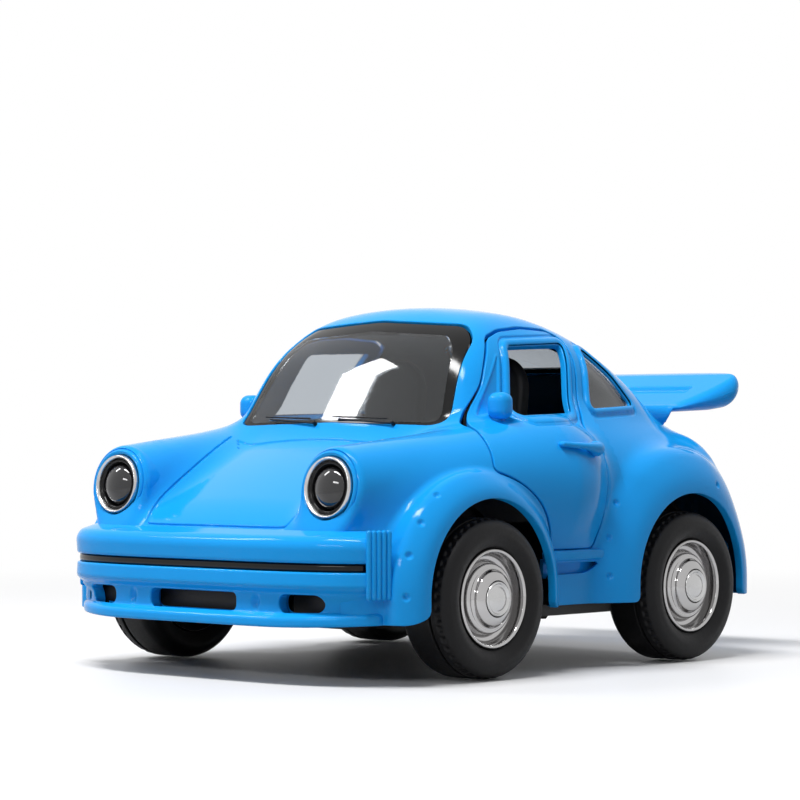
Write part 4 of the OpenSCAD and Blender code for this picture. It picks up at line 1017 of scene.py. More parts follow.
def dense(profile, size):
    """Adds points to a closed profile so that no side is longer than size."""
    out = []
    m = len(profile)
    for i in range(m):
        a, b = np.array(profile[i]), np.array(profile[(i + 1) % m])
        k = max(1, int(math.ceil(np.linalg.norm(b - a) / size)))
        out += [tuple(a + (b - a) * t / k) for t in range(k)]
    return out


def bumper_part(d, reach, profile, limit, fade, count, holes=(), dents=()):
    """A profile of (depth, height) swept round an end of the car; past fade degrees it sinks in."""
    line = dense(profile, 0.35)
    t = plan_turns(d, limit, count)
    sink = 1.6 * ease((np.abs(t) - math.radians(fade)) / math.radians(limit - fade))
    grid = np.zeros((count, len(line), 3))
    for j, (depth, z) in enumerate(line):
        x, y = plan_points(d, t, reach, depth - sink * (depth > -2))
        grid[:, j] = np.stack([x, y, z + 0 * x], 1)
    points, faces = grid_part(grid)
    if ((points - points.mean(0)) * smooth_normals(points, faces)).sum() < 0:
        faces = faces[:, ::-1]

    def fore(p):
        across = np.maximum(1 - (np.abs(p[:, 1]) / end_half_width(d)) ** END_POWER, 0)
        return p[:, 0] > reach - END_DEPTH - 2.3 + END_DEPTH * across ** (1 / END_POWER)
    for y, z, ry, rz in dents:
        s = np.hypot((points[:, 1] - y) / ry, (points[:, 2] - z) / rz)
        points[:, 0] -= fore(points) * 0.7 * (1 - ease(s))
    normals = smooth_normals(points, faces)
    rims = []
    for g, r, deep in holes:
        points, faces, normals = cut_flat(points, faces, normals, g)
        rims.append(rim_of(points, faces, normals, lambda p: np.where(fore(p), g(p), 9.0), r, deep,
                           join=False))
    return [(points, faces, normals)] + rims


def pull_back(d, parts):
    """Bends the front bumper's lower edge back and up towards its ends."""
    for p, _, n in parts:
        low = ease((d.skirt_h + 3.2 - p[:, 2]) / 2.2)
        far = np.clip((np.abs(p[:, 1]) - 15) / 17, 0, 1)
        p[:, 0] -= 2.2 * low * far ** 2
        p[:, 2] += low * (0.3 + 0.5 * far ** 2)
        n[:, 1] += n[:, 0] * low * 4.4 * far / 17 * np.sign(p[:, 1])
        n[:] = unit(n)
    return parts


def cut_flat(points, faces, normals, g):
    """Removes the part of a bumper where g is below nought, staying on its flat faces."""
    value = signed(g, points)
    pairs, per_face, va, _, mark = crossed(faces, value)
    a, b = points[pairs[mark, 0]], points[pairs[mark, 1]]
    lo, hi, sign = np.zeros(mark.sum()), np.ones(mark.sum()), np.sign(va[mark])
    for _ in range(16):
        m = (lo + hi) / 2
        same = np.sign(g(a + m[:, None] * (b - a))) == sign
        lo, hi = np.where(same, m, lo), np.where(same, hi, m)
    m = ((lo + hi) / 2)[:, None]
    n = unit(normals[pairs[mark, 0]] * (1 - m) + normals[pairs[mark, 1]] * m)
    return opened(points, faces, value, pairs, per_face, mark, a + m * (b - a), np.vstack([normals, n]))


def front_profile(d):
    s, z, t = d.skirt_h, d.lip_z, d.bumper_top
    return fillet([(-3.4, z), (0, z, 0.4), (0, z + 1.4, 0.5), (-1.1, z + 2.1, 0.3), (-1.1, s + 3.3, 0.3),
                   (-0.1, s + 4.2, 0.5), (-0.2, s + 6.5, 0.4), (-1.4, s + 6.4, 0.1), (-1.4, s + 7.8, 0.1),
                   (-0.2, s + 7.7, 0.5), (0, t - 1.6, 0.8), (-0.7, t - 0.4, 0.7), (-3.4, t + 0.5)], 0.1, 5)


def rear_profile(d):
    s = d.skirt_h
    return fillet([(-3, s), (-0.6, s, 0.3), (-0.6, s + 2.6, 0.3), (0.8, s + 3.2, 0.6), (0.8, s + 8.6, 0.9),
                   (-3, s + 9.4)], 0.1, 5)


def lamp_matrix(d, side):
    """Puts a headlamp's piece, turned round z, in its place on a side."""
    m = Matrix.Translation((d.lamp_x, d.lamp_y, d.lamp_h)) @ Matrix.Rotation(math.radians(84), 4, "Y")
    return (Matrix.Scale(-1, 4, (0, 1, 0)) @ m) if side < 0 else m


def mesh_part(bm):
    """A bmesh as points, faces and normals; its sharp edges are kept by splitting them."""
    bmesh.ops.recalc_face_normals(bm, faces=bm.faces)
    sharp = math.radians(35)
    bmesh.ops.split_edges(bm, edges=[e for e in bm.edges if e.is_manifold and e.calc_face_angle(0) > sharp])
    bmesh.ops.triangulate(bm, faces=bm.faces)
    bm.normal_update()
    bm.verts.index_update()
    p = np.array([v.co[:] for v in bm.verts])
    n = np.array([v.normal[:] for v in bm.verts])
    f = np.array([[v.index for v in face.verts] for face in bm.faces])
    bm.free()
    return p, f, n


class CAR_OT_body(bpy.types.Operator):
    """Builds the enamelled body casting"""
    bl_idname = "car.body"
    bl_label = "Body"

    def execute(self, context):
        d = sizes()
        skin_object("body casting skin", body_skin(d), "Enamel", ["body_shell"])
        # the inner side takes the enamel darkened as painted shade
        skin_object("body casting inner side", body_skin(d, coarse=True), "Thin enamel")
        self.bumpers(d)
        parts = [part for side in (1, -1) for part in (self.pod(d, side), self.ribs_and_sill(d, side))]
        skin_object("lamp pods ribs and sills", gather(parts), "Enamel")
        return {"FINISHED"}

    def bumpers(self, d):
        low, high, edge_r = d.lip_z + 2.25, d.skirt_h + 3.0, 0.25

        def hole(y0, y1, soft):
            line = rounded([(y0, low), (y1, low), (y1, high), (y0, high)], soft)
            return end_hole(line, 1, d.front_reach - 9, edge_r), edge_r, 1.8
        dents = [(y, d.lip_z + 3.6, 0.95, 1.7) for y in (-13.2, 13.2)]
        front = bumper_part(d, d.front_reach, front_profile(d), 77, 64, 260,
                            [hole(-9.2, 9.2, 0.9), hole(17.6, 24.9, 1.2), hole(-24.9, -17.6, 1.2)], dents)
        skin_object("front bumper casting", gather(pull_back(d, front)), "Enamel")
        rear = bumper_part(d, d.tail_reach, rear_profile(d), 80, 66, 160)
        skin_object("rear bumper casting", gather([mirrored(part, (-1, 1, 1)) for part in rear]), "Enamel")

    def pod(self, d, side):
        """The collar that carries a headlamp."""
        profile = fillet([(4.74, -3.5), (4.74, 0.15, 0.2), (5.2, 0.35, 0.15), (5.5, 0.1, 0.12),
                          (5.55, -0.3, 0.15), (5.95, -0.38, 0.2), (6.2, -0.9, 0.3), (6.2, -5), (5.2, -5)],
                         0.05, 4)
        return mesh_part(turned(profile, lamp_matrix(d, side)))

    def ribs_and_sill(self, d, side):
        """Five ribs at the bumper's end, which sit further in on the right, and the bar under the door."""
        s = d.skirt_h
        depth, high = (-0.1, 12.2) if side > 0 else (-0.9, 11)
        bm = bmesh.new()
        for i in range(5):
            x, y = plan_points(d, np.radians([65.5 + 3 * i]), d.front_reach, depth)
            tube_into(bm, (x[0], side * y[0], s + 2.9), (x[0], side * y[0], s + high), 0.42, 0.42, 16)
        x0, x1 = d.rear_x + d.arch_r - 0.6, d.front_x - d.arch_r - 2.3
        for y0, y1, z0, z1, soft in ((31.5, 34.15, s + 6.9, s + 8.55, 0.5),
                                     (31.2, 31.9, s + 4.2, s + 7.2, 0.1)):
            y0, y1 = sorted((side * y0, side * y1))
            box_into(bm, (x0, y0, z0), (x1, y1, z1), soft, 4)
        return mesh_part(bm)


class CAR_OT_doors(bpy.types.Operator):
    """Builds both doors with their frames, handles, mirrors and hinge arms"""
    bl_idname = "car.doors"
    bl_label = "Doors"

    def execute(self, context):
        d = sizes()
        x, y, z = 13.1, d.cabin_w / 2 + 1.0, d.belt_h + 1.2
        parts = self.panel(d) + [self.fittings(d, x, y, z), self.barrel(d)]
        for name, side, tuck in (("left", 1, 0), ("right", -1, 1.2)):
            node, inward = name + "_door", y - tuck
            bm = bmesh.new()
            box_into(bm, (x - 1.6, inward - 1.95, z - 2.1), (x + 1.6, inward + 1.95, z + 2.1), 1.45, 8)
            whole = gather(parts + [mesh_part(bm)])
            whole = whole if side > 0 else mirrored(whole)
            skin_object(name + " door casting", whole, "Enamel", [node], node)
            bm = bmesh.new()
            ball_into(bm, (x - 1.3, side * inward, z), (0.55, 1.35, 1.45))
            skin_object(name + " mirror glass", mesh_part(bm), "Chrome plate", (), node)
        return {"FINISHED"}

    def panel(self, d):
        """The door's skin with its window."""
        r = d.edge_r
        edge = inside_of(flank_hole(door_line(d), 0.08 - r))
        hole = flank_hole(side_window_line(d), r)
        points, faces = half_sheet(d, 1.2, 2.2, -14, 24)
        points, faces = compact(points, faces[edge(points)[faces].max(1) > -2.5])
        points, faces = refine(d, points, faces, wanted_edges(d, True))
        for g in (edge, hole):
            points, faces = cut(d, points, faces, g)
        return layered(d, points, faces, [(edge, r, 1.0), (hole, r, 1.0)], skin_height(d, True), 1.0)

    def fittings(self, d, x, y, z):
        """The handle, the mirror's stem and the hinge arm."""
        middle, low = d.body_w / 2, d.belt_h - 4.8
        line = np.linspace(middle - 8, middle + 6, 561)

        def beside(x, z, out):
            within = form(d, np.stack([x + 0 * line, line, z + 0 * line], 1)) < 0
            return x, line[within].max() + out, z
        waist = beside(2.2, low - 0.25, 1.0)
        bm = bmesh.new()
        tube_into(bm, beside(6.8, low + 0.1, 0.65), waist, 0.42, 0.55)
        tube_into(bm, waist, beside(-0.6, low - 0.6, 1.0), 0.55, 1.05)
        ball_into(bm, beside(6.8, low + 0.1, 0.4), (0.5, 0.7, 0.45))
        ball_into(bm, beside(-0.9, low - 0.6, 0.75), (1.5, 1.25, 1.2))
        tube_into(bm, (x, y - 0.8, z - 1.5), (x, d.cabin_w / 2 + 0.6, d.belt_h - 2.4), 0.75, 0.95)
        hx, hy, ax, ay = d.hinge_x, d.hinge_y, d.hinge_x - 10.8, d.hinge_y - 5.7
        outline_into(bm, [(hx - 0.8, hy), (hx - 0.8, ay + 1.5), (ax + 1.5, ay + 1.5), (ax + 1.5, hy + 2.2),
                          (ax, hy + 2.2), (ax, ay), (hx + 0.8, ay), (hx + 0.8, hy)],
                     d.hinge_low + 1.2, d.hinge_low + 2.9)
        return mesh_part(bm)

    def barrel(self, d):
        """The hinge's barrel round its pin."""
        place = Matrix.Translation((d.hinge_x, d.hinge_y, d.hinge_low))
        return mesh_part(turned([(0.55, 0), (1.3, 0), (1.3, 3), (0.55, 3)], place, 48))


def pane(d, hole, sheet, depth, thick, size, inner=None):
    """A clear pane inside a hole's outline, and the printed black border outside its inner outline."""
    edge = inside_of(hole)
    core = inside_of(inner) if inner else edge
    points, faces = sheet
    points, faces = compact(points, faces[edge(points)[faces].max(1) > -2])
    points, faces = refine(d, points, faces, lambda p: np.where(np.abs(core(p)) < 1, 0.45, size))
    made = []
    for cuts in ([core], [edge, inner]) if inner else ([edge],):
        p, q = points, faces
        for g in cuts:
            p, q = cut(d, p, q, g)
        n = skin_normals(d, p)
        part = [(p - n * depth, q, n), (p - n * (depth + thick), q[:, ::-1], -n)]
        for g in cuts:
            rim, f, rim_n = rim_of(p, q, n, g, 0.0, thick, steps=1, join=False)
            if len(rim):
                rim = rim - unit(slope(skin(d), rim)) * depth
            part.append((rim, f, rim_n))
        made.append(gather(part))
    return made


class CAR_OT_glass(bpy.types.Operator):
    """Builds the clear panes and their black borders"""
    bl_idname = "car.glass"
    bl_label = "Windows"

    def execute(self, context):
        d = sizes()
        gap = -0.1
        for name, sign, limit, line, inner, x0, x1 in (
                ("windscreen", 1, 3, screen_line(d), screen_line(d, (1.4, 1.5, 0.35)), 3.5, 24),
                ("rear window", -1, 8, rear_line(d), rear_line(d, 0.7), -34, -8)):
            hole, inner = end_hole(line, sign, limit, gap), end_hole(inner, sign, limit, gap)
            clear, border = pane(d, hole, half_sheet(d, 1.6, 3.0, x0, x1), 0.28, 0.8, 1.2, inner)
            skin_object(name + " pane", both_sides(clear), "Clear styrene", [name.replace(" ", "_")])
            skin_object(name + " border", both_sides(border), "Gloss black plastic")
        quarter = flank_hole(quarter_window_line(d), gap / 2)
        clear, = pane(d, quarter, half_sheet(d, 1.4, 2.6, -27, -9), 0.4, 0.8, 1.0)
        skin_object("left quarter pane", clear, "Clear styrene", ["left_quarter_window"])
        skin_object("right quarter pane", mirrored(clear), "Clear styrene", ["right_quarter_window"])
        self.wipers(d)
        return {"FINISHED"}

    def wipers(self, d):
        z = d.hood_h + 1.9

        def on_glass(y, z, out):
            return Vector((d.screen_x - 0.56 * (z - 37) - 0.005 * y * y + out, y, z))
        bm = bmesh.new()
        for y in (-3, 13):
            a = on_glass(y, z - 0.5, 0.6)
            tube_into(bm, a, on_glass(y - 11, z + 0.1, 0.5), 0.2, 0.14, 12)
            tube_into(bm, on_glass(y - 1.5, z + 0.2, 0.42), on_glass(y - 12.5, z + 0.5, 0.42), 0.15, 0.11, 10)
            tube_into(bm, a - Vector((0.9, 0, 0.6)), a + Vector((0.1, 0, 0.1)), 0.36, 0.3, 16)
        plain_object("wiper arms and blades", bm, "Matt black plastic", ["wipers"])


class CAR_OT_lamps(bpy.types.Operator):
    """Builds the headlamps and the tail lamps"""
    bl_idname = "car.lamps"
    bl_label = "Lamps"

    def execute(self, context):
        d = sizes()
        for side, name in ((1, "left"), (-1, "right")):
            self.headlamp(d, name, lamp_matrix(d, side))
        lamp = self.tail_lamp(d)
        skin_object("left tail lamp lens", lamp, "Red styrene", ["left_tail_lamp"])
        skin_object("right tail lamp lens", mirrored(lamp), "Red styrene", ["right_tail_lamp"])
        return {"FINISHED"}

    def headlamp(self, d, name, place):
        """A satin ring, a black bezel, a plated reflector and a domed lens."""
        r = d.lamp_d / 2 - 0.06
        lens = r - 0.75
        ring = fillet([(lens + 0.02, -0.85), (r, -0.85), (r, 0.45, 0.25), (r - 0.28, 0.92, 0.25),
                       (lens + 0.12, 0.5, 0.2), (lens + 0.02, 0.0, 0.1)], 0.05, 5)
        bezel = fillet([(lens - 0.75, -0.9), (lens, -0.9), (lens, 0.3, 0.1), (lens - 0.35, 0.3, 0.1),
                        (lens - 0.75, -0.35, 0.1)], 0.05, 3)
        mouth = lens - 0.3
        bowl = [(0, -4.1), (r, -4.1), (r, -0.92), (mouth, -0.92)]
        bowl += [(a, -0.95 - 2.4 * (1 - (a / mouth) ** 2)) for a in np.linspace(mouth - 0.1, 0.9, 12)]
        bowl += [(0.85, -2.6), (0, -2.45)]
        dome = [((lens - 0.72) * math.cos(a), -0.55 + 1.75 * math.sin(a))
                for a in np.linspace(0, math.pi / 2, 20)]
        inner = [((lens - 1.3) * math.cos(a), -0.6 + 1.2 * math.sin(a))
                 for a in np.linspace(math.pi / 2, 0, 16)]
        dome[-1], inner[0] = (0, dome[-1][1]), (0, inner[0][1])
        for part, profile, finish, node, angle, slot in (
                ("ring", ring, "Satin chrome", "rim", 50, None),
                ("bezel", bezel, "Gloss black plastic", None, 50, None),
                ("reflector", bowl, "Chrome plate", "bowl", 60, "black_plastic"),
                ("lens", dome + inner, "Smoked lens", "lens", 60, None)):
            nodes = [f"{name}_headlamp_{node}"] if node else ()
            plain_object(f"{name} headlamp {part}", turned(profile, place), finish, nodes, angle=angle,
                         slot=slot)

    def tail_lamp(self, d):
        """The left lens, with a domed face and fine upright grooves."""
        line, start, pitch = tail_lamp_line(), 15, 2.06
        edge = inside_of(end_hole(line, -1, 30, -0.45))
        points, faces = half_sheet(d, 1.2, 2.4)
        points, faces = compact(points, faces[edge(points)[faces].max(1) > -1.85])
        points, faces = refine(d, points, faces, lambda p: np.full(len(p), 0.4))
        points, faces = cut(d, points, faces, edge)

        def swell(p):
            y = np.abs(p[:, 1])
            s = inside_distance(line, y, p[:, 2])
            return 0.3 * ease(-s / 0.9) - 0.12 * (np.abs(((y - start) / pitch) % 1 - 0.5) < 0.1) * (s < -0.8)
        return gather(layered(d, points, faces, [(edge, 0.35, 0.95)], swell, 0.95))


class CAR_OT_trim(bpy.types.Operator):
    """Builds the bumper's black insert, the grille plates and the tail wing"""
    bl_idname = "car.trim"
    bl_label = "Trim and wing"

    def execute(self, context):
        d = sizes()
        lo, hi = d.skirt_h + 6.45, d.skirt_h + 7.75
        profile = fillet([(-1.38, lo), (-0.85, lo, 0.2), (-0.6, lo + 0.35, 0.2), (-0.6, hi - 0.35, 0.2),
                          (-0.85, hi, 0.2), (-1.38, hi)], 0.05, 4)
        insert = bumper_part(d, d.front_reach, profile, 70, 62, 200)
        skin_object("bumper insert", gather(insert), "Gloss black plastic", ["bumper_strip"])
        bm = bmesh.new()
        for y0, y1, back in ((-10, 10, 3.9), (16.8, 25.8, 5.6), (-25.8, -16.8, 5.6)):
            x = d.front_reach - back
            box_into(bm, (x - 0.8, y0, d.lip_z + 1.6), (x, y1, d.skirt_h + 3.7), 0.2)
        plain_object("intake grille plates", bm, "Matt black plastic", ["intake_grilles"])
        skin_object("tail wing casting", self.wing(d), "Enamel", ["tail_wing"])
        return {"FINISHED"}

    def wing(self, d):
        """A sheet in plan, given a top and a bottom that meet in a rounded edge."""
        tip, top, w, r = -d.wing_reach, d.wing_top + 0.5, d.body_w / 2 - 5, 1.5
        half = [(tip, 0), (tip, w - 11, 4), (tip + 0.7, w - 4, 4), (tip + 2.2, w - 1, 2), (tip + 4.4, w, 2),
                (tip + 8, w - 1.4, 3), (-41.6, w - 4, 4), (-36, w - 9.5, 3), (-28, w - 12.5)]
        plan = even(fillet(half + [(p[0], -p[1], *p[2:]) for p in half[:0:-1]], 1.0, 8), 0.4)
        tray_line = [(tip + 7, -w + 7.5), (tip + 7, w - 7), (tip + 12, w - 8), (tip + 12, -w + 8)]
        recess = even(fillet(tray_line, 0.9, 5), 0.35)
        above = [(tip, -0.1), (tip + 1.2, 0), (tip + 3, -0.3), (tip + 13, -5.6), (-31, -5.6)]
        below = [(tip, -4.2), (tip + 0.7, -4.9), (tip + 3, -5.9), (tip + 7, -6.5), (-39.2, -6.9),
                 (-38.6, -9.5)]

        def face(x, y, upper):
            tray = np.interp(x, *zip(*[(a, top + z) for a, z in above]))
            tray = tray - 0.75 * (1 - ease((inside_distance(recess, x, y) + 0.35) / 0.45))
            under = np.interp(x, *zip(*[(a, top + z) for a, z in below]))
            middle = 0.6 * tray + 0.4 * under
            reach = r if upper else r + 2.2 * ease((np.abs(y) - w + 9) / 7)
            q = np.sqrt(1 - (1 - np.clip(-inside_distance(plan, x, y) / reach, 0, 1)) ** 2)
            return middle + ((tray if upper else under) - middle) * q
        rings = [plan - turned_out(plan) * r * (1 - math.cos(a))
                 for a in np.radians([0, 7, 15, 24, 34, 45, 56, 67, 78, 90])]
        rings += [recess + turned_out(recess) * k for k in (-0.3, -0.2, -0.1, 0.0, 0.1)]
        columns = [np.arange(tip + 1.9, -39.4, 0.5), np.arange(-39.3, -38.4, 0.12), np.arange(-38, -29, 0.6)]
        gx, gy = np.meshgrid(np.concatenate(columns), np.arange(-w + 2, w - 1.9, 0.5))
        grid = np.stack([gx.ravel(), gy.ravel()], 1)
        clear = np.abs(inside_distance(recess, *grid.T) + 0.1) > 0.3
        grid = grid[(inside_distance(plan, *grid.T) < -r - 0.25) & clear]
        n = len(plan)
        got = mathutils.geometry.delaunay_2d_cdt([Vector(p) for p in np.vstack(rings + [grid])],
                                                 [(k, (k + 1) % n) for k in range(n)], [], 1, 1e-6)
        p, f = np.array([v[:] for v in got[0]]), np.array([list(t) for t in got[2]])
        ab, ac = p[f[:, 1]] - p[f[:, 0]], p[f[:, 2]] - p[f[:, 0]]
        f = np.where((ab[:, 0] * ac[:, 1] - ab[:, 1] * ac[:, 0] < 0)[:, None], f[:, ::-1], f)
        x, y, h = p[:, 0], p[:, 1], 0.02
        hidden = form(d, np.column_stack([x, np.abs(y), face(x, y, True)])) < -1
        f = f[~hidden[f].all(1)]
        parts = []
        for upper in (True, False):
            n3 = unit(np.column_stack([face(x - h, y, upper) - face(x + h, y, upper),
                                       face(x, y - h, upper) - face(x, y + h, upper), 0 * x + 2 * h]))
            q = np.column_stack([p, face(x, y, upper)])
            parts.append((q, f if upper else f[:, ::-1], n3 if upper else -n3))
        return gather(parts)


class CAR_OT_wheels(bpy.types.Operator):
    """Builds the tyres, the plated rims and the hub caps"""
    bl_idname = "car.wheels"
    bl_label = "Wheels"

    def execute(self, context):
        d = sizes()
        points, faces, normals = self.tyre(d)
        rim, cap = self.rim_profile(d), self.cap_profile(d)
        for x, end in ((d.front_x, "front"), (d.rear_x, "rear")):
            body = end + "_wheelset"
            for side, name in ((1, "left"), (-1, "right")):
                place = Matrix.Translation((x, 0, d.axle_z)) @ Matrix.Rotation(-math.pi / 2, 4, "X")
                if side < 0:
                    place = Matrix.Scale(-1, 4, (0, 1, 0)) @ place
                turn = np.array(place.to_3x3())
                tyre = (points @ turn.T + np.array(place.translation), faces[:, ::side], normals @ turn.T)
                skin_object(f"{end} {name} rubber tyre", tyre, "Tyre rubber", [f"{end}_{name}_tyre"], body)
                plain_object(f"{end} {name} plated rim", turned(rim, place, 120), "Chrome plate",
                             [f"{end}_{name}_rim"], body, 60)
                plain_object(f"{end} {name} plated cap", turned(cap, place), "Satin chrome",
                             [f"{end}_{name}_hub_cap"], body, 50)
        return {"FINISHED"}

    def tyre(self, d):
        """A left tyre round z, with a groove and a band of dents along its outer shoulder."""
        out, inn, rr, face, rim = d.track_w / 2, d.tyre_in_y, d.tyre_d / 2, d.rim_face, d.rim_d / 2
        dents, steps = 45, 360
        profile = fillet([(rim + 0.5, inn + 0.6), (rim + 2.4, inn, 0.6), (rr - 1.2, inn + 0.2, 0.8),
                          (rr, inn + 1.6, 0.8), (rr, out - 3.5, 0.12), (rr - 0.5, out - 3.4, 0.12),
                          (rr - 0.5, out - 3.05, 0.12), (rr, out - 2.95, 0.12), (rr - 0.05, out - 1.6, 0.6),
                          (rr - 0.5, out - 0.75, 0.5), (rr - 1.3, out - 0.2, 0.7), (rr - 2.7, out, 0.6),
                          (rim + 0.9, out - 0.35, 0.4), (rim + 0.12, out - 1.0, 0.3),
                          (rim + 0.12, face - 0.4)], 0.1, 4)
        r, h = np.array(dense(profile, 0.22)).T
        band = ease((h - (out - 2.1)) / 0.15) * ease(((out - 1.15) - h) / 0.2) * (r > rr - 1)
        grid = np.zeros((steps + 1, len(r), 3))
        for i in range(steps + 1):
            turn = (i % steps) * 2 * math.pi / steps
            dent = 1 - ease((abs((turn * dents / (2 * math.pi)) % 1 - 0.5) - 0.2) / 0.1)
            dented = r - 0.32 * band * dent
            grid[i] = np.stack([dented * math.cos(turn), dented * math.sin(turn), h], 1)
        p, f = grid_part(grid)
        p, f = p[:steps * len(r)], f % (steps * len(r))
        n = smooth_normals(p, f)
        ring = unit(p * np.array([1, 1, 0])) * (rr - 2.5) + np.array([0, 0, (inn + out) / 2])
        return (p, f[:, ::-1], -n) if (n * (p - ring)).sum() < 0 else (p, f, n)

    def rim_profile(self, d):
        """The rim from its hub to its stepped and rounded lip, as (radius, height)."""
        inn, face, rim = d.tyre_in_y, d.rim_face, d.rim_d / 2
        return fillet([(1.01, inn - 2.1), (3.2, inn - 2.1, 0.2), (3.2, face - 3.2), (6.2, face - 3.2),
                       (6.2, inn + 1.2), (rim + 0.2, inn + 0.6), (rim + 0.4, face - 0.6), (rim, face - 0.5),
                       (rim, face + 0.05, 0.2), (rim - 0.3, face + 0.36, 0.2), (rim - 0.62, face + 0.1, 0.15),
                       (rim - 0.75, face - 0.5, 0.2), (rim - 0.8, face - 1.9, 0.5), (5.75, face - 2.3, 0.6),
                       (5.45, face - 1.6, 0.4), (5.3, face - 0.75, 0.25), (4.95, face - 0.45, 0.2),
                       (4.45, face - 0.5, 0.25), (4.2, face - 0.1, 0.2), (4.05, face + 0.35, 0.3),
                       (3.3, face + 0.75, 0.3), (2.75, face + 0.9, 0.1), (2.7, face - 0.6),
                       (1.01, face - 0.6)], 0.06, 4)

    def cap_profile(self, d):
        face = d.rim_face
        return fillet([(0, face - 0.58), (2.64, face - 0.58), (2.64, face + 0.95, 0.15),
                       (2.4, face + 1.2, 0.15), (2.12, face + 0.85, 0.1), (1.9, face + 0.85, 0.15),
                       (1.5, face + 1.12, 0.5), (0.8, face + 1.27, 0.5), (0, face + 1.3)], 0.02, 5)


class CAR_OT_interior(bpy.types.Operator):
    """Builds the moulded seats and finishes the pieces that are carried over"""
    bl_idname = "car.interior"
    bl_label = "Interior and mechanism"

    def execute(self, context):
        d, made = sizes(), finishes()
        for side, name in ((1, "left"), (-1, "right")):
            plain_object(name + " moulded seat", self.seat(d, 11 * side), "Matt black plastic",
                         [name + "_seat"], angle=50)
        slots = {s["node"]: s["material_slot"] for s in frame["record"]["subparts"]}
        look = {"blue_enamel": "Enamel", "clear_plastic": "Clear styrene", "red_plastic": "Red styrene",
                "tyre_rubber": "Tyre rubber", "chrome_plate": "Chrome plate", "steel": "Steel wire",
                "gear_plastic": "Nylon", "black_plastic": "Matt black plastic"}
        for node_name, ob in frame["nodes"].items():
            ob.data.materials.clear()
            ob.data.materials.append(made[look[slots[node_name]]])
        return {"FINISHED"}

    def seat(self, d, y):
        """A rounded back that leans to the rear, and a cushion."""
        w, floor, top, lean = 6.0, 23.82, d.window_top - 1.6, 0.13
        line = [(w, floor)] + [(math.cos(a) * w, top - w + math.sin(a) * w)
                               for a in np.linspace(0, math.pi, 25)]
        upright = Matrix(((0, 0, 1, 0), (1, 0, 0, 0), (0, 1, 0, 0), (0, 0, 0, 1)))
        bm = bmesh.new()
        for v in outline_into(bm, line + [(-w, floor)], -1.4, 1.5, 0.9, 4, upright):
            v.co.x += -3.4 - (v.co.z - floor) * lean
            v.co.y += y
        box_into(bm, (-2.8, y - w, floor), (7.3, y + w, floor + 4.9), 1.2, 4)
        return bm


def link_object(ob, place, way=None):
    """Puts an object in the scene, its -z axis along a way."""
    ob.location = place
    if way is not None:
        ob.rotation_mode = "QUATERNION"
        ob.rotation_quaternion = Vector(way).to_track_quat("-Z", "Y")
    bpy.context.scene.collection.objects.link(ob)
    return ob


def seen(tree):
    """One where a ray arrives from the camera, from a glossy surface or by way of glass."""
    rays = node(tree, "LightPath").outputs
    either = node(tree, "Math", {0: rays["Is Camera Ray"], 1: rays["Is Glossy Ray"]}, operation="MAXIMUM")
    either = either.outputs[0]
    return node(tree, "Math", {0: either, 1: rays["Is Transmission Ray"]}, operation="MAXIMUM").outputs[0]


def paper():
    """Pale matt paper that goes over into the white background away from the car."""
    near, far, shade_part = 0.09, 0.34, 0.6
    mat = shader("Pale paper", linear("#E7E7E8"), 0.5, patch=250, shade=0.01, spread=0.05, relief=0.01)
    tree = mat.node_tree
    own = next(n for n in tree.nodes if n.type == "BSDF_PRINCIPLED").outputs["BSDF"]
    place = node(tree, "TexCoord").outputs["Object"]
    away = node(tree, "VectorMath", {0: place}, operation="LENGTH").outputs["Value"]
    away = node(tree, "MapRange", {"Value": away, "From Min": near, "From Max": far},
                interpolation_type="SMOOTHSTEP").outputs["Result"]
    share = node(tree, "Math", {0: away, 1: seen(tree)}, operation="MULTIPLY").outputs[0]
    glow = node(tree, "Emission", {"Color": (1, 1, 1, 1), "Strength": 1.0}).outputs[0]
    bright = node(tree, "MixShader", {"Fac": share, 1: own, 2: glow}).outputs[0]
    # the light that it sends back to the car is held down, so that the shade under it stays
    bounced = node(tree, "LightPath").outputs["Is Diffuse Ray"]
    bounced = node(tree, "Math", {0: bounced, 1: shade_part}, operation="MULTIPLY").outputs[0]
    dim = node(tree, "BsdfDiffuse", {"Color": (0.12, 0.12, 0.13, 1)}).outputs[0]
    last = node(tree, "MixShader", {"Fac": bounced, 1: bright, 2: dim}).outputs[0]
    out = next(n for n in tree.nodes if n.type == "OUTPUT_MATERIAL")
    tree.links.new(last, out.inputs["Surface"])
    return mat


LAMPS = (  # name, place, aim, width, height, watts
    ("key", (0.22, 0.02, 0.60), (0, 0, 0.03), 0.36, 0.08, 4.0),
    ("front", (0.60, 0.06, 0.30), (0.02, 0, 0.03), 0.30, 0.06, 0.8),
    ("back", (-0.50, 0.10, 0.40), (-0.02, 0, 0.03), 0.4, 0.12, 0.9),
    ("side", (0.05, 0.60, 0.34), (0, 0, 0.03), 0.30, 0.05, 0.2),
    ("glint", (0.21, -0.33, 0.36), (0.015, 0, 0.045), 0.06, 0.15, 0.5),
)
CAMERA_PLACE, CAMERA_WAY, CAMERA_LENS = (0.34909, 0.31111, 0.0366), (-0.74121, -0.67117, 0.01155), 128.8


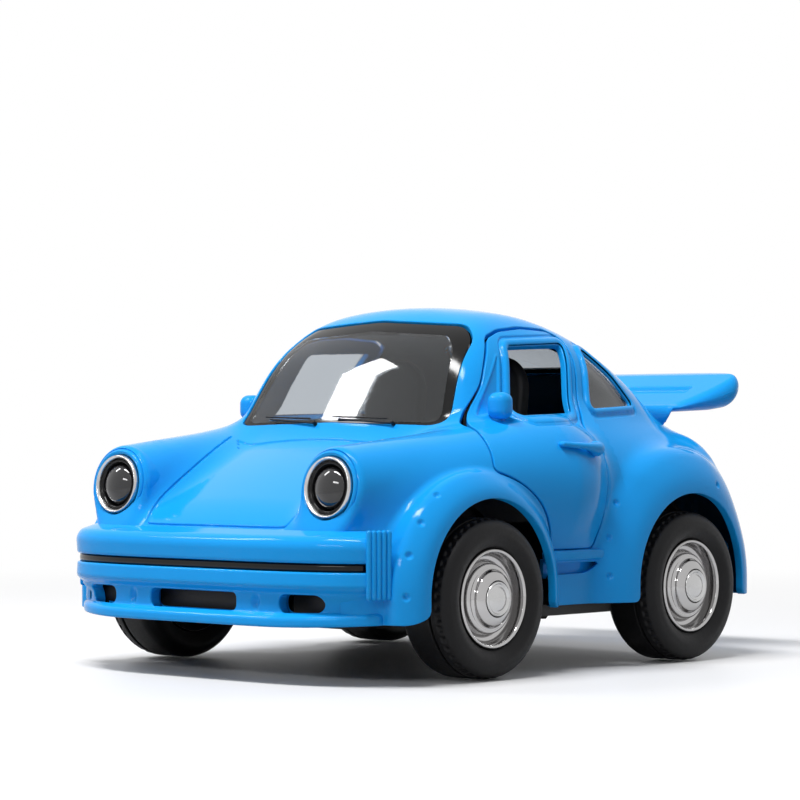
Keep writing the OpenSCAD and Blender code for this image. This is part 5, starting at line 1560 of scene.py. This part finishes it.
class CAR_OT_stage(bpy.types.Operator):
    """Sets the floor, the lights, the background and the camera"""
    bl_idname = "car.stage"
    bl_label = "Stage"

    def execute(self, context):
        scene = context.scene
        bm = bmesh.new()
        bmesh.ops.create_grid(bm, x_segments=1, y_segments=1, size=3)
        floor = bpy.data.meshes.new("floor")
        bm.to_mesh(floor)
        bm.free()
        floor.materials.append(paper())
        made = [link_object(bpy.data.objects.new("floor", floor), (0, 0, -0.0002)), *self.lamps()]
        scene.world = self.world()
        cam = bpy.data.cameras.new("camera")
        cam.lens, cam.sensor_width, cam.clip_start = CAMERA_LENS, 36, 0.01
        scene.camera = link_object(bpy.data.objects.new("camera", cam), CAMERA_PLACE, CAMERA_WAY)
        scene.view_settings.view_transform = "Standard"
        return {"FINISHED"}

    def lamps(self):
        made = []
        for name, place, aim, wide, high, power in LAMPS:
            lamp = bpy.data.lights.new(name, "AREA")
            lamp.shape, lamp.size, lamp.size_y, lamp.energy = "RECTANGLE", wide, high, power
            made.append(link_object(bpy.data.objects.new(name, lamp), place, Vector(aim) - Vector(place)))
            made[-1].visible_glossy = name not in ("back", "side")
        return made

    def world(self):
        """A weak pale light, and plain white where it is seen."""
        world = bpy.data.worlds.new("studio")
        world.use_nodes = True
        tree = world.node_tree
        tree.nodes.clear()
        near = node(tree, "Background", {"Color": (0.92, 0.95, 1, 1), "Strength": 0.14}).outputs[0]
        white = node(tree, "Background", {"Color": (1, 1, 1, 1), "Strength": 1.0}).outputs[0]
        mix = node(tree, "MixShader", {"Fac": seen(tree), 1: near, 2: white}).outputs[0]
        node(tree, "OutputWorld", {"Surface": mix})
        return world


class CAR_PT_panel(bpy.types.Panel):
    """The car's sizes, colours and pieces"""
    bl_label = "Pull back car"
    bl_idname = "CAR_PT_panel"
    bl_space_type = "VIEW_3D"
    bl_region_type = "UI"
    bl_category = "Car"

    def draw(self, context):
        column = self.layout.column()
        for group in (context.scene.car_sizes, context.scene.car_colours):
            for key in group.__annotations__:
                column.prop(group, key)
        for operator in OPERATORS:
            column.operator(operator.bl_idname)


OPERATORS = (CAR_OT_body, CAR_OT_doors, CAR_OT_glass, CAR_OT_lamps, CAR_OT_trim, CAR_OT_wheels,
             CAR_OT_interior, CAR_OT_stage)
CLASSES = (CarSizes, CarColours) + OPERATORS + (CAR_PT_panel,)


def register():
    for c in CLASSES:
        bpy.utils.register_class(c)
    bpy.types.Scene.car_sizes = bpy.props.PointerProperty(type=CarSizes)
    bpy.types.Scene.car_colours = bpy.props.PointerProperty(type=CarColours)


def unregister():
    del bpy.types.Scene.car_sizes, bpy.types.Scene.car_colours
    for c in reversed(CLASSES):
        bpy.utils.unregister_class(c)


def main():
    register()
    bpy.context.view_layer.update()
    bpy.ops.car.body()
    bpy.ops.car.doors()
    bpy.ops.car.glass()
    bpy.ops.car.lamps()
    bpy.ops.car.trim()
    bpy.ops.car.wheels()
    bpy.ops.car.interior()
    bpy.ops.car.stage()


if __name__ == "__main__":
    main()
